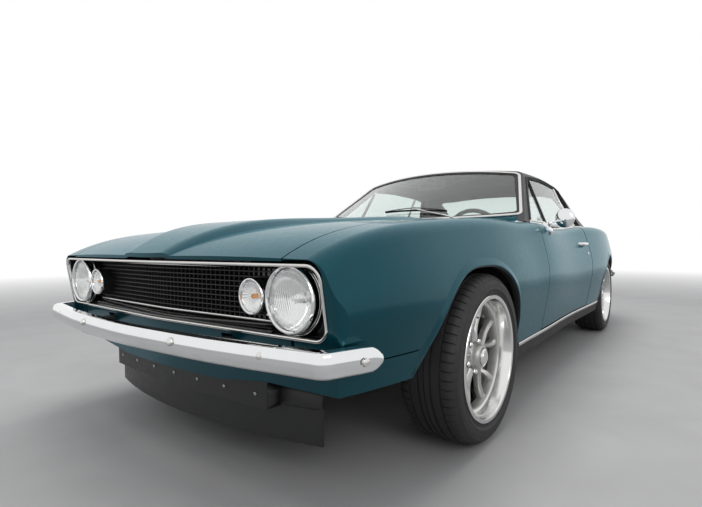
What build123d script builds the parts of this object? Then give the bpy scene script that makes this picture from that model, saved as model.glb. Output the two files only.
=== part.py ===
from build123d import *
import os
from math import cos, hypot, radians, sin

os.makedirs("parts", exist_ok=True)

# A two-door hardtop with a long hood, in millimetres.
# +X is the car's left, the front faces -Y, the ground is Z = 0.

# Driving dimensions
wheelbase = 2746
front_axle_y = -1415
rear_axle_y = front_axle_y + wheelbase
front_wheel_x = 787
rear_wheel_x = 770
tyre_radius = 325
rim_radius = 241
bead_radius = 230
shut_gap = 5
panel = 25
door_depth = 90
hood_skin = 16
glass_thickness = 5

# Body side: the bottom is level, the sections give the widest line, shoulder and crown
body_floor_z = 225
sill_top_z = 305
shoulder_radius = 65
body_sections = (
    # y, x_low, z_wide, x_wide, z_top, x_top, z_crown, waist_radius
    (-2330, 700, 560, 790, 650, 765, 690, 100),
    (-2200, 745, 572, 828, 728, 788, 768, 180),
    (-2060, 790, 590, 868, 782, 806, 812, 300),
    (-1780, 840, 608, 905, 830, 818, 856, 420),
    (-1415, 856, 620, 922, 860, 830, 884, 450),
    (-1000, 855, 616, 920, 870, 841, 896, 450),
    (-600, 852, 612, 917, 878, 850, 904, 450),
    (450, 846, 618, 917, 889, 832, 912, 450),
    (1150, 852, 632, 929, 908, 862, 930, 420),
    (1450, 832, 632, 907, 903, 846, 924, 420),
    (1750, 800, 628, 870, 894, 812, 914, 400),
    (2080, 762, 622, 828, 875, 770, 895, 360),
    (2400, 722, 615, 785, 850, 728, 870, 300),
)

# Roof and pillars: straight sides that lean in, a rail radius and a shallow crown
roof_base_z = 850
rail_radius = 70
roof_skin = 30
roof_sections = (
    # y, x_base, x_rail, z_rail, z_crown
    (-1000, 785, 602, 1180, 1222),
    (-300, 785, 602, 1232, 1284),
    (150, 786, 604, 1246, 1318),
    (520, 786, 606, 1236, 1309),
    (820, 785, 610, 1180, 1250),
    (1120, 782, 632, 1052, 1106),
    (1460, 776, 690, 915, 935),
)

# Windshield: a cylinder about a line that runs up the glass
glass_lean = radians(31.2)
glass_radius = 2090
glass_base_y = -860
glass_base_z = 905

# Nose and tail: a shallow V in plan with a rounded point, leaning back from a lip
nose_y = -2262
nose_lip_z = 729
nose_lean = radians(9)
nose_point_radius = 1800
tail_y = 2300
tail_lip_z = 862
tail_lean = radians(5)
tail_point_radius = 9000
nose_corner = (812, 30)
tail_corner = (765, 60)
end_sweep = 38

# Raised centre of the hood: height over the crown and half width at the first body sections
bulge_slope_width = 90
bulge_slope_drop = 42
hood_bulge = (
    # rise, half_width
    (4, 115),
    (16, 140),
    (24, 175),
    (20, 235),
    (13, 310),
    (11, 380),
    (-8, 430),
)

# Limits that lie outside the car
side_limit = 1000
front_limit = -2400
rear_limit = 2500

# Shut lines and seams
hood_seam_front_x = 650
hood_seam_rear_x = 700
hood_rear_y = -1010
door_front_y = -635
door_rear_y = 530
trunk_front_y = 1560
trunk_side_x = 630
trunk_rear_z = 800
arch_radius = 352
arch_centre_y = front_axle_y - 4
arch_top_z = tyre_radius + arch_radius

# Door hinge line
door_axis_x = 880
door_axis_y = -545
hinge_pocket = 101


def save(part, label):
    """Label a finished piece and write it to its own file."""
    part.label = label
    export_step(part, f"parts/{label}.step")


crown_share = 0.85


def crown_arc(half_width, rise):
    """Radius that rounds most of a shallow top with this rise at its middle."""
    return crown_share * hypot(half_width, rise) * half_width / rise


def body_loft(inset, sections=body_sections):
    """Solid of the body below the glass, inside the outer skin by inset."""
    with BuildPart() as solid:
        for y, x_low, z_wide, x_wide, z_top, x_top, z_crown, waist_radius in sections:
            low_x = x_low - 0.9 * inset
            wide_x = x_wide - inset
            top_x = x_top - 0.75 * inset
            crown = crown_arc(top_x, z_crown - z_top)
            corner = max(shoulder_radius - inset, 8)
            waist = max(waist_radius - inset, 50)
            with BuildSketch(Plane.XZ.offset(-y)):
                with BuildLine():
                    FilletPolyline(
                        (-low_x, body_floor_z + inset),
                        (low_x, body_floor_z + inset),
                        (wide_x, z_wide),
                        (top_x, z_top - inset),
                        (0, z_crown - inset),
                        (-top_x, z_top - inset),
                        (-wide_x, z_wide),
                        radius=(10, 10, waist, corner, crown, corner, waist),
                        close=True,
                    )
                make_face()
        loft()
    return solid.part


def end_trim(lip_y, lip_z, lean, point_radius, corner, inset, facing):
    """Prism that keeps the body behind a shallow, leaning V with a rounded point."""
    length = 5200
    corner_x = corner[0] - inset
    corner_y = facing * (-end_sweep - inset)
    corner_radius = max(corner[1] - inset, 10)
    normal = (0, facing * sin(lean), cos(lean))
    with BuildPart() as prism:
        with BuildSketch(Plane(origin=(0, lip_y, lip_z), x_dir=(1, 0, 0), z_dir=normal)):
            with BuildLine():
                FilletPolyline(
                    (-corner_x, corner_y),
                    (0, facing * -inset),
                    (corner_x, corner_y),
                    (side_limit, facing * -300),
                    (side_limit, facing * -length),
                    (-side_limit, facing * -length),
                    (-side_limit, facing * -300),
                    radius=(corner_radius, point_radius, corner_radius, 0, 0, 0, 0),
                    close=True,
                )
            make_face()
        extrude(amount=2200, both=True)
    return prism.part


def nose_trim(inset):
    """End face of the nose."""
    return end_trim(nose_y, nose_lip_z, nose_lean, nose_point_radius, nose_corner, inset, -1)


def tail_trim(inset):
    """End face of the tail."""
    return end_trim(tail_y, tail_lip_z, tail_lean, tail_point_radius, tail_corner, inset, 1)


def body_envelope(inset):
    """Body loft closed by the nose and tail faces."""
    with BuildPart() as envelope:
        add(body_loft(inset))
        add(nose_trim(inset), mode=Mode.INTERSECT)
        add(tail_trim(inset), mode=Mode.INTERSECT)
    return envelope.part


def body_shell(thickness):
    """Outer skin of the lower body, with a wall of this thickness."""
    with BuildPart() as shell:
        add(outer_body)
        add(body_envelope(thickness), mode=Mode.SUBTRACT)
    return shell.part


def bulge_loft(inset):
    """Raised centre of the hood, lowered by inset."""
    with BuildPart() as solid:
        for section, (rise, half) in zip(body_sections, hood_bulge):
            y, z_top, z_crown = section[0], section[4], section[6]
            crest_z = z_top + (1 - crown_share / 2) * (z_crown - z_top) + rise - inset
            foot = half + bulge_slope_width
            with BuildSketch(Plane.XZ.offset(-y)):
                with BuildLine():
                    FilletPolyline(
                        (-foot, crest_z - bulge_slope_drop),
                        (foot, crest_z - bulge_slope_drop),
                        (half, crest_z),
                        (-half, crest_z),
                        radius=(0, 0, 120, 120),
                        close=True,
                    )
                make_face()
        loft()
    return solid.part


def roof_loft(inset):
    """Solid of the roof and pillars, inside the outer skin by inset."""
    with BuildPart() as solid:
        for y, x_base, x_rail, z_rail, z_crown in roof_sections:
            base_x = x_base - 1.1 * inset
            rail_x = x_rail - 0.65 * inset
            crown = crown_arc(rail_x, z_crown - z_rail)
            corner = max(rail_radius - inset, 20)
            with BuildSketch(Plane.XZ.offset(-y)):
                with BuildLine():
                    FilletPolyline(
                        (-base_x, roof_base_z),
                        (base_x, roof_base_z),
                        (rail_x, z_rail - inset),
                        (0, z_crown - inset),
                        (-rail_x, z_rail - inset),
                        radius=(0, 0, corner, crown, corner),
                        close=True,
                    )
                make_face()
        loft()
    return solid.part


def behind_windshield(inset):
    """Everything behind the curved glass surface, set back by inset."""
    up_glass = Vector(0, cos(glass_lean), sin(glass_lean))
    out_of_glass = Vector(0, -sin(glass_lean), cos(glass_lean))
    base = Vector(0, glass_base_y, glass_base_z)
    start = base - out_of_glass * glass_radius - up_glass * 1500
    with BuildPart() as cylinder:
        with BuildSketch(Plane(origin=start, x_dir=(1, 0, 0), z_dir=up_glass)):
            Circle(glass_radius - inset)
        extrude(amount=6000)
    return cylinder.part


def plan_prism(points, low=0, high=1500):
    """Prism over a plan outline."""
    with BuildPart() as prism:
        with BuildSketch(Plane.XY.offset(low)):
            with BuildLine():
                Polyline(*points, close=True)
            make_face()
        extrude(amount=high - low)
    return prism.part


def side_prism(points, x_from, x_to, radius=0.0):
    """Prism across the car over a side-view outline of (y, z) points."""
    with BuildPart() as prism:
        with BuildSketch(Plane.YZ.offset(x_from)):
            with BuildLine():
                FilletPolyline(*points, radius=radius, close=True)
            make_face()
        extrude(amount=x_to - x_from)
    return prism.part


def block(x_from, x_to, y_from, y_to, z_from, z_to):
    """Plain block between two corners."""
    with BuildPart() as solid:
        with Locations(((x_from + x_to) / 2, (y_from + y_to) / 2, (z_from + z_to) / 2)):
            Box(x_to - x_from, y_to - y_from, z_to - z_from)
    return solid.part


def wheel_opening(y_centre, radius, x_from, x_to):
    """Cylinder across the body at a wheel."""
    with BuildPart() as cylinder:
        with BuildSketch(Plane.YZ.offset(x_from)):
            with Locations((y_centre, tyre_radius)):
                Circle(radius)
        extrude(amount=x_to - x_from)
    return cylinder.part


front_arch_outline = (
    (arch_centre_y + arch_radius, 150),
    (arch_centre_y + arch_radius, arch_top_z),
    (-1662, arch_top_z),
    (-1912, 355),
    (-1925, 150),
)
front_arch_radii = (0, arch_radius, 341, 60, 0)


def front_opening(x_from, x_to):
    """Front wheel opening: round at the back, running out low towards the bumper."""
    return side_prism(front_arch_outline, x_from, x_to, front_arch_radii)


def mirrored(part):
    """The same piece on the other side of the car."""
    with BuildPart() as other:
        mirror(part, about=Plane.YZ)
    return other.part


outer_body = body_envelope(0)
skin = body_shell(panel)

# Front fender, with its front wall round the grille opening
opening_half_width = 783
opening_low_z = 500
opening_high_z = 716
valance_seam_z = 447


def grille_opening():
    """Rounded opening across the nose."""
    width = 2 * opening_half_width
    height = opening_high_z - opening_low_z
    with BuildPart() as cut:
        with BuildSketch(Plane.XZ.offset(2000)):
            with Locations((0, (opening_low_z + opening_high_z) / 2)):
                RectangleRounded(width, height, 48)
        extrude(amount=400)
    return cut.part


fender_plan = (
    (hood_seam_front_x, front_limit),
    (hood_seam_rear_x, hood_rear_y),
    (hood_seam_rear_x, door_front_y - shut_gap),
    (side_limit, door_front_y - shut_gap),
    (side_limit, front_limit),
)
pocket_skin = 4
with BuildPart() as hinge_pocket_space:
    with BuildSketch(Plane.XY.offset(250)):
        with Locations((door_axis_x, door_axis_y)):
            Circle(hinge_pocket)
    extrude(amount=700)
    add(body_loft(pocket_skin, body_sections[4:9]), mode=Mode.INTERSECT)

with BuildPart() as fenders:
    add(skin)
    add(plan_prism(fender_plan, 200, 1200), mode=Mode.INTERSECT)
    add(block(0, side_limit, front_limit, front_axle_y, 0, valance_seam_z), mode=Mode.SUBTRACT)
    add(block(0, side_limit, front_axle_y, 0, 0, sill_top_z + shut_gap), mode=Mode.SUBTRACT)
    add(front_opening(600, side_limit), mode=Mode.SUBTRACT)
    add(grille_opening(), mode=Mode.SUBTRACT)
    add(hinge_pocket_space.part, mode=Mode.SUBTRACT)
    mirror(about=Plane.YZ)
save(fenders.part, "fenders")

# Hood, down to its lip over the grille
hood_plan = (
    (-hood_seam_front_x + shut_gap, front_limit),
    (hood_seam_front_x - shut_gap, front_limit),
    (hood_seam_rear_x - shut_gap, hood_rear_y),
    (0, hood_rear_y - 60),
    (-hood_seam_rear_x + shut_gap, hood_rear_y),
)
hood_lip_z = 712
with BuildPart() as hood:
    add(outer_body)
    add(bulge_loft(0))
    add(body_envelope(hood_skin), mode=Mode.SUBTRACT)
    add(bulge_loft(hood_skin), mode=Mode.SUBTRACT)
    add(plan_prism(hood_plan, hood_lip_z, 1200), mode=Mode.INTERSECT)
    add(nose_trim(0), mode=Mode.INTERSECT)
save(hood.part, "hood")


# Front valance below the fender seam, with a strip up to the grille opening
valance_middle_z = 335
valance_side_z = 362
fender_split_x = hood_seam_front_x - 4
valance_front_view = (
    (-side_limit, valance_side_z),
    (-520, valance_side_z),
    (-300, valance_middle_z),
    (300, valance_middle_z),
    (520, valance_side_z),
    (side_limit, valance_side_z),
    (side_limit, valance_seam_z - 4),
    (-side_limit, valance_seam_z - 4),
)
with BuildPart() as valance_space:
    with BuildSketch(Plane.XZ.offset(1650)):
        with BuildLine():
            Polyline(*valance_front_view, close=True)
        make_face()
    extrude(amount=750)
    add(block(-fender_split_x, fender_split_x, front_limit, -2150, valance_seam_z - 4, opening_low_z))

bumper_arm_x = 380
bumper_arm_z = 467


def arm_slot(x, y_from, y_to):
    """Slot that a bumper arm passes through."""
    return block(x - 26, x + 26, y_from, y_to, bumper_arm_z - 24, bumper_arm_z + 24)


with BuildPart() as front_valance:
    add(skin)
    add(valance_space.part, mode=Mode.INTERSECT)
    add(front_opening(400, side_limit), mode=Mode.SUBTRACT)
    add(front_opening(-side_limit, -400), mode=Mode.SUBTRACT)
    add(grille_opening(), mode=Mode.SUBTRACT)
    for x in (-bumper_arm_x, bumper_arm_x):
        add(arm_slot(x, -2300, -2100), mode=Mode.SUBTRACT)
save(front_valance.part, "front_valance")

# Door on each side, as deep as the whole door, hinged just behind its front edge
door_side_x = 736
door_low_z = sill_top_z + 10
door_plan = (
    (door_side_x, door_front_y + 4),
    (side_limit, door_front_y - 4),
    (side_limit, door_rear_y),
    (door_side_x, door_rear_y - 12),
)
cabin_space = body_loft(door_depth, body_sections[4:9])
with BuildPart() as door_left:
    add(outer_body)
    add(cabin_space, mode=Mode.SUBTRACT)
    add(plan_prism(door_plan, door_low_z, 1200), mode=Mode.INTERSECT)
save(door_left.part, "door_left")
save(mirrored(door_left.part), "door_right")

# Quarter panel, with the lock pillar that closes the rear of the door opening
quarter_front_y = door_rear_y + shut_gap
quarter_plan = (
    (door_side_x, quarter_front_y),
    (side_limit, quarter_front_y),
    (side_limit, rear_limit),
    (trunk_side_x + shut_gap, rear_limit),
    (trunk_side_x + shut_gap, 1180),
    (door_side_x, 1080),
)
pillar_plan = (
    (door_side_x, quarter_front_y),
    (side_limit, quarter_front_y),
    (side_limit, quarter_front_y + panel),
    (door_side_x, quarter_front_y + panel),
)
with BuildPart() as lock_pillar:
    add(outer_body)
    add(cabin_space, mode=Mode.SUBTRACT)
    add(plan_prism(pillar_plan, sill_top_z + shut_gap, 1200), mode=Mode.INTERSECT)

rear_seam_z = 430
rear_valance_low_z = 262
plate_hole_x = 89
plate_hole_z = 352
plate_hole_radius = 3.3
with BuildPart() as quarter_panels:
    add(skin)
    add(plan_prism(quarter_plan, 200, 1200), mode=Mode.INTERSECT)
    add(lock_pillar.part)
    add(block(0, side_limit, 0, rear_axle_y, 0, sill_top_z + shut_gap), mode=Mode.SUBTRACT)
    add(block(0, side_limit, rear_axle_y, rear_limit, 0, rear_seam_z), mode=Mode.SUBTRACT)
    add(wheel_opening(rear_axle_y, arch_radius, 600, side_limit), mode=Mode.SUBTRACT)
    mirror(about=Plane.YZ)
save(quarter_panels.part, "quarter_panels")

# Rear valance below the bumper
with BuildPart() as rear_valance:
    add(skin)
    valance_front_y = rear_axle_y + 260
    valance_top_z = rear_seam_z - 4
    valance_block = block(
        -side_limit, side_limit, valance_front_y, rear_limit, rear_valance_low_z, valance_top_z
    )
    add(valance_block, mode=Mode.INTERSECT)
    add(wheel_opening(rear_axle_y, arch_radius, 400, side_limit), mode=Mode.SUBTRACT)
    add(wheel_opening(rear_axle_y, arch_radius, -side_limit, -400), mode=Mode.SUBTRACT)
    with BuildSketch(Plane.XZ.offset(-2350)):
        with Locations((-plate_hole_x, plate_hole_z), (plate_hole_x, plate_hole_z)):
            Circle(plate_hole_radius)
    extrude(amount=200, mode=Mode.SUBTRACT)
save(rear_valance.part, "rear_valance")

# Trunk lid, over the deck and down to its rear edge, and the tail panel below it
lid_half = trunk_side_x
with BuildPart() as trunk_lid:
    add(body_shell(hood_skin))
    lid_block = block(-lid_half, lid_half, trunk_front_y, rear_limit, trunk_rear_z, 1200)
    add(lid_block, mode=Mode.INTERSECT)
save(trunk_lid.part, "trunk_lid")

with BuildPart() as tail_panel:
    add(skin)
    tail_block = block(-lid_half, lid_half, 2100, rear_limit, rear_seam_z, trunk_rear_z - shut_gap)
    add(tail_block, mode=Mode.INTERSECT)
    for x in (-bumper_arm_x, bumper_arm_x):
        add(arm_slot(x, 2150, 2350), mode=Mode.SUBTRACT)
save(tail_panel.part, "tail_panel")

# Deck panel between the rear window and the trunk lid
with BuildPart() as deck_panel:
    add(skin)
    deck_block = block(-lid_half, lid_half, 1180, trunk_front_y - shut_gap - 1, 700, 1200)
    add(deck_block, mode=Mode.INTERSECT)
save(deck_panel.part, "deck_panel")

# Cowl panel between the hood and the windshield
cowl_side_x = hood_seam_rear_x - shut_gap
cowl_plan = (
    (-cowl_side_x, hood_rear_y + shut_gap + 1),
    (0, hood_rear_y - 60 + shut_gap + 1),
    (cowl_side_x, hood_rear_y + shut_gap + 1),
    (cowl_side_x, -500),
    (cowl_side_x - 60, -540),
    (0, glass_base_y + 70),
    (60 - cowl_side_x, -540),
    (-cowl_side_x, -500),
)
with BuildPart() as cowl_panel:
    add(skin)
    add(plan_prism(cowl_plan, 700, 1200), mode=Mode.INTERSECT)
save(cowl_panel.part, "cowl_panel")

# Roof with its pillars
outer_roof = roof_loft(0)
side_window_outline = (
    (-538, 870),
    (-128, 1198),
    (150, 1212),
    (520, 1202),
    (640, 1184),
    (822, 870),
)
side_window_radii = (12, 20, 1500, 500, 30, 20)


def side_window(x_from, x_to):
    """Prism through the side glass opening."""
    return side_prism(side_window_outline, x_from, x_to, side_window_radii)


backlight_lean = radians(24)
backlight_plane = Plane(
    origin=(0, 820, 1226),
    x_dir=(1, 0, 0),
    z_dir=(0, sin(backlight_lean), cos(backlight_lean)),
)


def backlight_prism(margin=0.0):
    """Prism through the rear window opening, narrower all round by margin."""
    with BuildPart() as prism:
        with BuildSketch(backlight_plane):
            with BuildLine():
                Polyline(
                    (margin - 520, margin),
                    (520 - margin, margin),
                    (588 - margin, 560 - margin),
                    (margin - 588, 560 - margin),
                    close=True,
                )
            make_face()
            fillet(vertices(), 70 - margin)
        extrude(amount=150, both=True)
    return prism.part


windshield_plane = Plane(
    origin=(0, glass_base_y, glass_base_z),
    x_dir=(1, 0, 0),
    z_dir=(0, -sin(glass_lean), cos(glass_lean)),
)


def windshield_prism(margin=0.0):
    """Prism through the windshield opening, narrower all round by margin."""
    with BuildPart() as prism:
        with BuildSketch(windshield_plane):
            with BuildLine():
                bottom = ThreePointArc(
                    (margin - 728, 268 + margin), (0, margin), (728 - margin, 268 + margin)
                )
                top = ThreePointArc(
                    (588 - margin, 752 - margin), (0, 688 - margin), (margin - 588, 752 - margin)
                )
                Line(bottom @ 1, top @ 0)
                Line(top @ 1, bottom @ 0)
            make_face()
            fillet(vertices(), 45)
        extrude(amount=500, both=True)
    return prism.part


pillar_foot_z = 888
door_head_space = block(
    door_side_x - shut_gap, side_limit, door_front_y - shut_gap, 0, 800, pillar_foot_z
)
with BuildPart() as roof:
    add(outer_roof)
    add(behind_windshield(0), mode=Mode.INTERSECT)
    add(roof_loft(roof_skin), mode=Mode.SUBTRACT)
    add(outer_body, mode=Mode.SUBTRACT)
    add(door_head_space, mode=Mode.SUBTRACT)
    add(mirrored(door_head_space), mode=Mode.SUBTRACT)
    add(windshield_prism(), mode=Mode.SUBTRACT)
    add(side_window(400, 900), mode=Mode.SUBTRACT)
    add(side_window(-900, -400), mode=Mode.SUBTRACT)
    add(backlight_prism(), mode=Mode.SUBTRACT)
save(roof.part, "roof")

# Windshield and rear window, each a thin slab of its own surface
glass_gap = 4
with BuildPart() as windshield:
    add(outer_roof)
    add(behind_windshield(glass_gap), mode=Mode.INTERSECT)
    add(behind_windshield(glass_gap + glass_thickness), mode=Mode.SUBTRACT)
    add(windshield_prism(glass_gap), mode=Mode.INTERSECT)
    add(outer_body, mode=Mode.SUBTRACT)
save(windshield.part, "windshield")

glass_face = roof_loft(6)
glass_back = roof_loft(6 + glass_thickness)
with BuildPart() as rear_window:
    add(glass_face)
    add(glass_back, mode=Mode.SUBTRACT)
    add(backlight_prism(glass_gap), mode=Mode.INTERSECT)
    add(outer_body, mode=Mode.SUBTRACT)
save(rear_window.part, "rear_window")

# Door glass and fixed quarter glass in the side opening
door_glass_outline = (
    (-525, 880),
    (-122, 1192),
    (150, 1206),
    (506, 1197),
    (506, 880),
)
quarter_glass_outline = (
    (518, 880),
    (518, 1197),
    (636, 1179),
    (806, 880),
)
with BuildPart() as door_glass_left:
    add(glass_face)
    add(glass_back, mode=Mode.SUBTRACT)
    door_glass_prism = side_prism(door_glass_outline, 400, 900, (6, 20, 1500, 6, 6))
    add(door_glass_prism, mode=Mode.INTERSECT)
    add(outer_body, mode=Mode.SUBTRACT)
save(door_glass_left.part, "door_glass_left")
save(mirrored(door_glass_left.part), "door_glass_right")

with BuildPart() as quarter_glass:
    add(glass_face)
    add(glass_back, mode=Mode.SUBTRACT)
    add(side_prism(quarter_glass_outline, 400, 900, (6, 6, 24, 6)), mode=Mode.INTERSECT)
    add(outer_body, mode=Mode.SUBTRACT)
    mirror(about=Plane.YZ)
save(quarter_glass.part, "quarter_glass")

# Sills, floor, firewall and trunk floor
sill_inner_x = 740
sill_low_z = 228
with BuildPart() as sills:
    add(outer_body)
    add(block(sill_inner_x, side_limit, -1025, 960, sill_low_z, sill_top_z), mode=Mode.INTERSECT)
    mirror(about=Plane.YZ)
save(sills.part, "sills")

floor_z = 240
floor_sheet = 12
firewall_y = -905
kick_up_y = 820
trunk_floor_z = 430
tail_floor_y = 2190
tunnel_half = 115
tunnel_top_z = 366
with BuildPart() as floor_pan:
    with BuildSketch(Plane.XZ.offset(-firewall_y)):
        with BuildLine():
            outer_line = FilletPolyline(
                (-sill_inner_x, floor_z),
                (-tunnel_half - 30, floor_z),
                (-tunnel_half + 20, tunnel_top_z),
                (tunnel_half - 20, tunnel_top_z),
                (tunnel_half + 30, floor_z),
                (sill_inner_x, floor_z),
                radius=40,
            )
            offset(amount=floor_sheet, side=Side.LEFT)
        make_face()
    extrude(amount=-(kick_up_y - firewall_y))
    add(block(-sill_inner_x, sill_inner_x, firewall_y, firewall_y + 12, floor_z, 836))
    add(block(-640, 640, kick_up_y - 12, kick_up_y, floor_z, trunk_floor_z + 12))
    add(block(-590, 590, kick_up_y - 12, tail_floor_y, trunk_floor_z, trunk_floor_z + 12))
save(floor_pan.part, "floor_pan")

# Hinge pillars between the fenders and the doors
with BuildPart() as hinge_pillars:
    add(block(sill_inner_x, 812, -735, -650, sill_top_z, 838))
    mirror(about=Plane.YZ)
save(hinge_pillars.part, "hinge_pillars")

# Half-round rear wheel housings
housing_radius = arch_radius + 12
with BuildPart() as rear_wheelhouses:
    with BuildSketch(Plane.YZ.offset(600)):
        with Locations((rear_axle_y, tyre_radius)):
            Circle(housing_radius + 10)
    extrude(amount=262)
    with BuildSketch(Plane.YZ.offset(610)):
        with Locations((rear_axle_y, tyre_radius)):
            Circle(housing_radius)
    extrude(amount=400, mode=Mode.SUBTRACT)
    add(block(500, side_limit, 800, 1900, -200, trunk_floor_z + 12), mode=Mode.SUBTRACT)
    add(body_loft(panel + 2), mode=Mode.INTERSECT)
    mirror(about=Plane.YZ)
save(rear_wheelhouses.part, "rear_wheelhouses")

# Engine bay: side aprons, radiator support and radiator, engine block
apron_x = 452
apron_outline = (
    (-2085, 330),
    (firewall_y, 330),
    (firewall_y, 830),
    (-1500, 800),
    (-2085, 700),
)
with BuildPart() as front_aprons:
    add(side_prism(apron_outline, apron_x, apron_x + 10))
    add(block(400, 500, front_axle_y - 130, front_axle_y + 130, 0, 520), mode=Mode.SUBTRACT)
    mirror(about=Plane.YZ)
save(front_aprons.part, "front_aprons")

with BuildPart() as radiator:
    add(block(-330, 330, -2075, -2020, 300, 740))
save(radiator.part, "radiator")

with BuildPart() as engine:
    add(block(-230, 230, -1880, -1180, 330, 720))
save(engine.part, "engine")

# Front subframe with its rails, crossmember and control arms
rail_x = 400
with BuildPart() as front_subframe:
    for side in (-1, 1):
        rail_from = min(side * rail_x, side * (rail_x - 60))
        add(block(rail_from, rail_from + 60, -2050, firewall_y - 5, 240, 320))
        with BuildSketch(Plane.XY.offset(205)):
            with BuildLine():
                Polyline(
                    (side * (rail_x - 40), front_axle_y - 110),
                    (side * 668, front_axle_y - 24),
                    (side * 668, front_axle_y + 24),
                    (side * (rail_x - 40), front_axle_y + 110),
                    close=True,
                )
            make_face()
        extrude(amount=36)
        with BuildSketch(Plane.XY.offset(432)):
            with BuildLine():
                Polyline(
                    (side * (rail_x - 20), front_axle_y - 80),
                    (side * 660, front_axle_y - 20),
                    (side * 660, front_axle_y + 20),
                    (side * (rail_x - 20), front_axle_y + 80),
                    close=True,
                )
            make_face()
        extrude(amount=26)
        post_from = min(side * (rail_x - 60), side * rail_x)
        add(block(post_from, post_from + 60, front_axle_y - 90, front_axle_y + 90, 300, 470))
    add(block(-rail_x, rail_x, front_axle_y - 90, front_axle_y + 90, 205, 300))
save(front_subframe.part, "front_subframe")

# Steering knuckle and hub, turning on an upright kingpin
kingpin_x = 690
kingpin_half = 22
hub_inset = 8
front_hub_x = front_wheel_x - hub_inset
rear_hub_x = rear_wheel_x - hub_inset
for side, label in ((1, "knuckle_left"), (-1, "knuckle_right")):
    with BuildPart() as knuckle:
        kingpin_from = kingpin_x - kingpin_half
        kingpin_to = kingpin_x + kingpin_half
        add(block(kingpin_from, kingpin_to, front_axle_y - 26, front_axle_y + 26, 246, 428))
        with BuildSketch(Plane.YZ.offset(kingpin_x)):
            with Locations((front_axle_y, tyre_radius)):
                Circle(46)
        extrude(amount=front_hub_x - kingpin_x)
    save(knuckle.part if side > 0 else mirrored(knuckle.part), label)

# Rear axle with its differential, leaf springs, propeller shaft, exhaust and fuel tank
with BuildPart() as rear_axle:
    with BuildSketch(Plane.XY.offset(tyre_radius)):
        with BuildLine():
            Polyline(
                (-rear_hub_x, rear_axle_y),
                (-rear_hub_x, rear_axle_y + 40),
                (-120, rear_axle_y + 40),
                (-70, rear_axle_y + 98),
                (70, rear_axle_y + 98),
                (120, rear_axle_y + 40),
                (rear_hub_x, rear_axle_y + 40),
                (rear_hub_x, rear_axle_y),
                close=True,
            )
        make_face()
    revolve(axis=Axis((0, rear_axle_y, tyre_radius), (1, 0, 0)))
    for side in (-1, 1):
        spring_from = min(side * 500, side * 560)
        add(block(spring_from, spring_from + 60, 840, 1900, 264, 290))
save(rear_axle.part, "rear_axle")

with BuildPart() as fuel_tank:
    add(block(-330, 330, 1540, 2080, 262, 424))
save(fuel_tank.part, "fuel_tank")

exhaust_x = 230
muffler_half = 90
with BuildPart() as exhaust:
    for x in (-exhaust_x, exhaust_x):
        with BuildSketch(Plane.XZ.offset(880)):
            with Locations((x, 200)):
                Circle(28)
        extrude(amount=-1900)
        add(block(x - muffler_half, x + muffler_half, 200, 620, 165, 228))
save(exhaust.part, "exhaust")

# Bumpers: a thin pressed blade that is open behind, swept round a shallow plan curve
bumper_mid_z = 467
blade_half_height = 34
blade_wall = 4


def blade_section(lip):
    """Section of the blade as (depth behind the face, height); lip is its top edge's depth."""
    top = bumper_mid_z + blade_half_height
    low = bumper_mid_z - blade_half_height
    return (
        (lip, top),
        (9, top),
        (0, bumper_mid_z + 2),
        (11, low),
        (26, low),
        (26, low + blade_wall),
        (13, low + blade_wall),
        (blade_wall, bumper_mid_z + 2),
        (12, top - blade_wall),
        (lip, top - blade_wall),
    )


blade_radii = (0, 15, 45, 15, 0, 0, 11, 40, 11, 0)


def bumper(centre_y, middle, shoulder, tip, lip, facing):
    """Bumper blade with its two arms; middle, shoulder and tip are (x, y) on the left."""
    half = (tip, shoulder, middle)
    route = [(facing * x, y) for x, y in half] + [(0, centre_y)]
    route += [(-facing * x, y) for x, y in reversed(half)]
    arm_y = centre_y + (middle[1] - centre_y) * bumper_arm_x / middle[0]
    with BuildPart() as blade:
        with BuildLine() as path:
            FilletPolyline(*route, radius=(60, 2500, 2500, 2500, 60))
        along = path.line % 0
        inward = Vector(0, 0, 1).cross(along)
        with BuildSketch(Plane(origin=path.line @ 0, x_dir=inward, z_dir=along)):
            with BuildLine():
                FilletPolyline(*blade_section(lip), radius=blade_radii, close=True)
            make_face()
        sweep(path=path.line)
        tip_end = tip[1] + facing * 3
        far_y = facing * 2600
        end_view = (
            (far_y, bumper_mid_z - 60),
            (tip_end, bumper_mid_z - blade_half_height),
            (tip_end, bumper_mid_z + blade_half_height),
            (far_y, bumper_mid_z + 60),
        )
        add(side_prism(end_view, -side_limit, side_limit, (0, 30, 26, 0)), mode=Mode.INTERSECT)
        for x in (-bumper_arm_x, bumper_arm_x):
            arm_ends = sorted((arm_y - 4 * facing, arm_y - 170 * facing))
            add(block(x - 20, x + 20, *arm_ends, bumper_arm_z - 12, bumper_arm_z + 12))
    return blade.part


save(bumper(-2356, (450, -2330), (832, -2270), (893, -2112), 40, -1), "front_bumper")
save(bumper(2351, (450, 2342), (800, 2300), (840, 2180), 28, 1), "rear_bumper")

# Air dam under the nose: a curved blade, and the step that carries it from the valance
dam_low_z = 150
dam_high_z = 265
dam_sheet = 6


def curved_strip(half_width, end_y, centre_y, depth, z_from, z_to):
    """Upright or level strip between two like arcs in plan."""
    with BuildPart() as strip:
        with BuildSketch(Plane.XY.offset(z_from)):
            with BuildLine():
                front = ThreePointArc((-half_width, end_y), (0, centre_y), (half_width, end_y))
                back = ThreePointArc(
                    (-half_width, end_y + depth), (0, centre_y + depth), (half_width, end_y + depth)
                )
                Line(front @ 0, back @ 0)
                Line(front @ 1, back @ 1)
            make_face()
        extrude(amount=z_to - z_from)
    return strip.part


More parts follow.
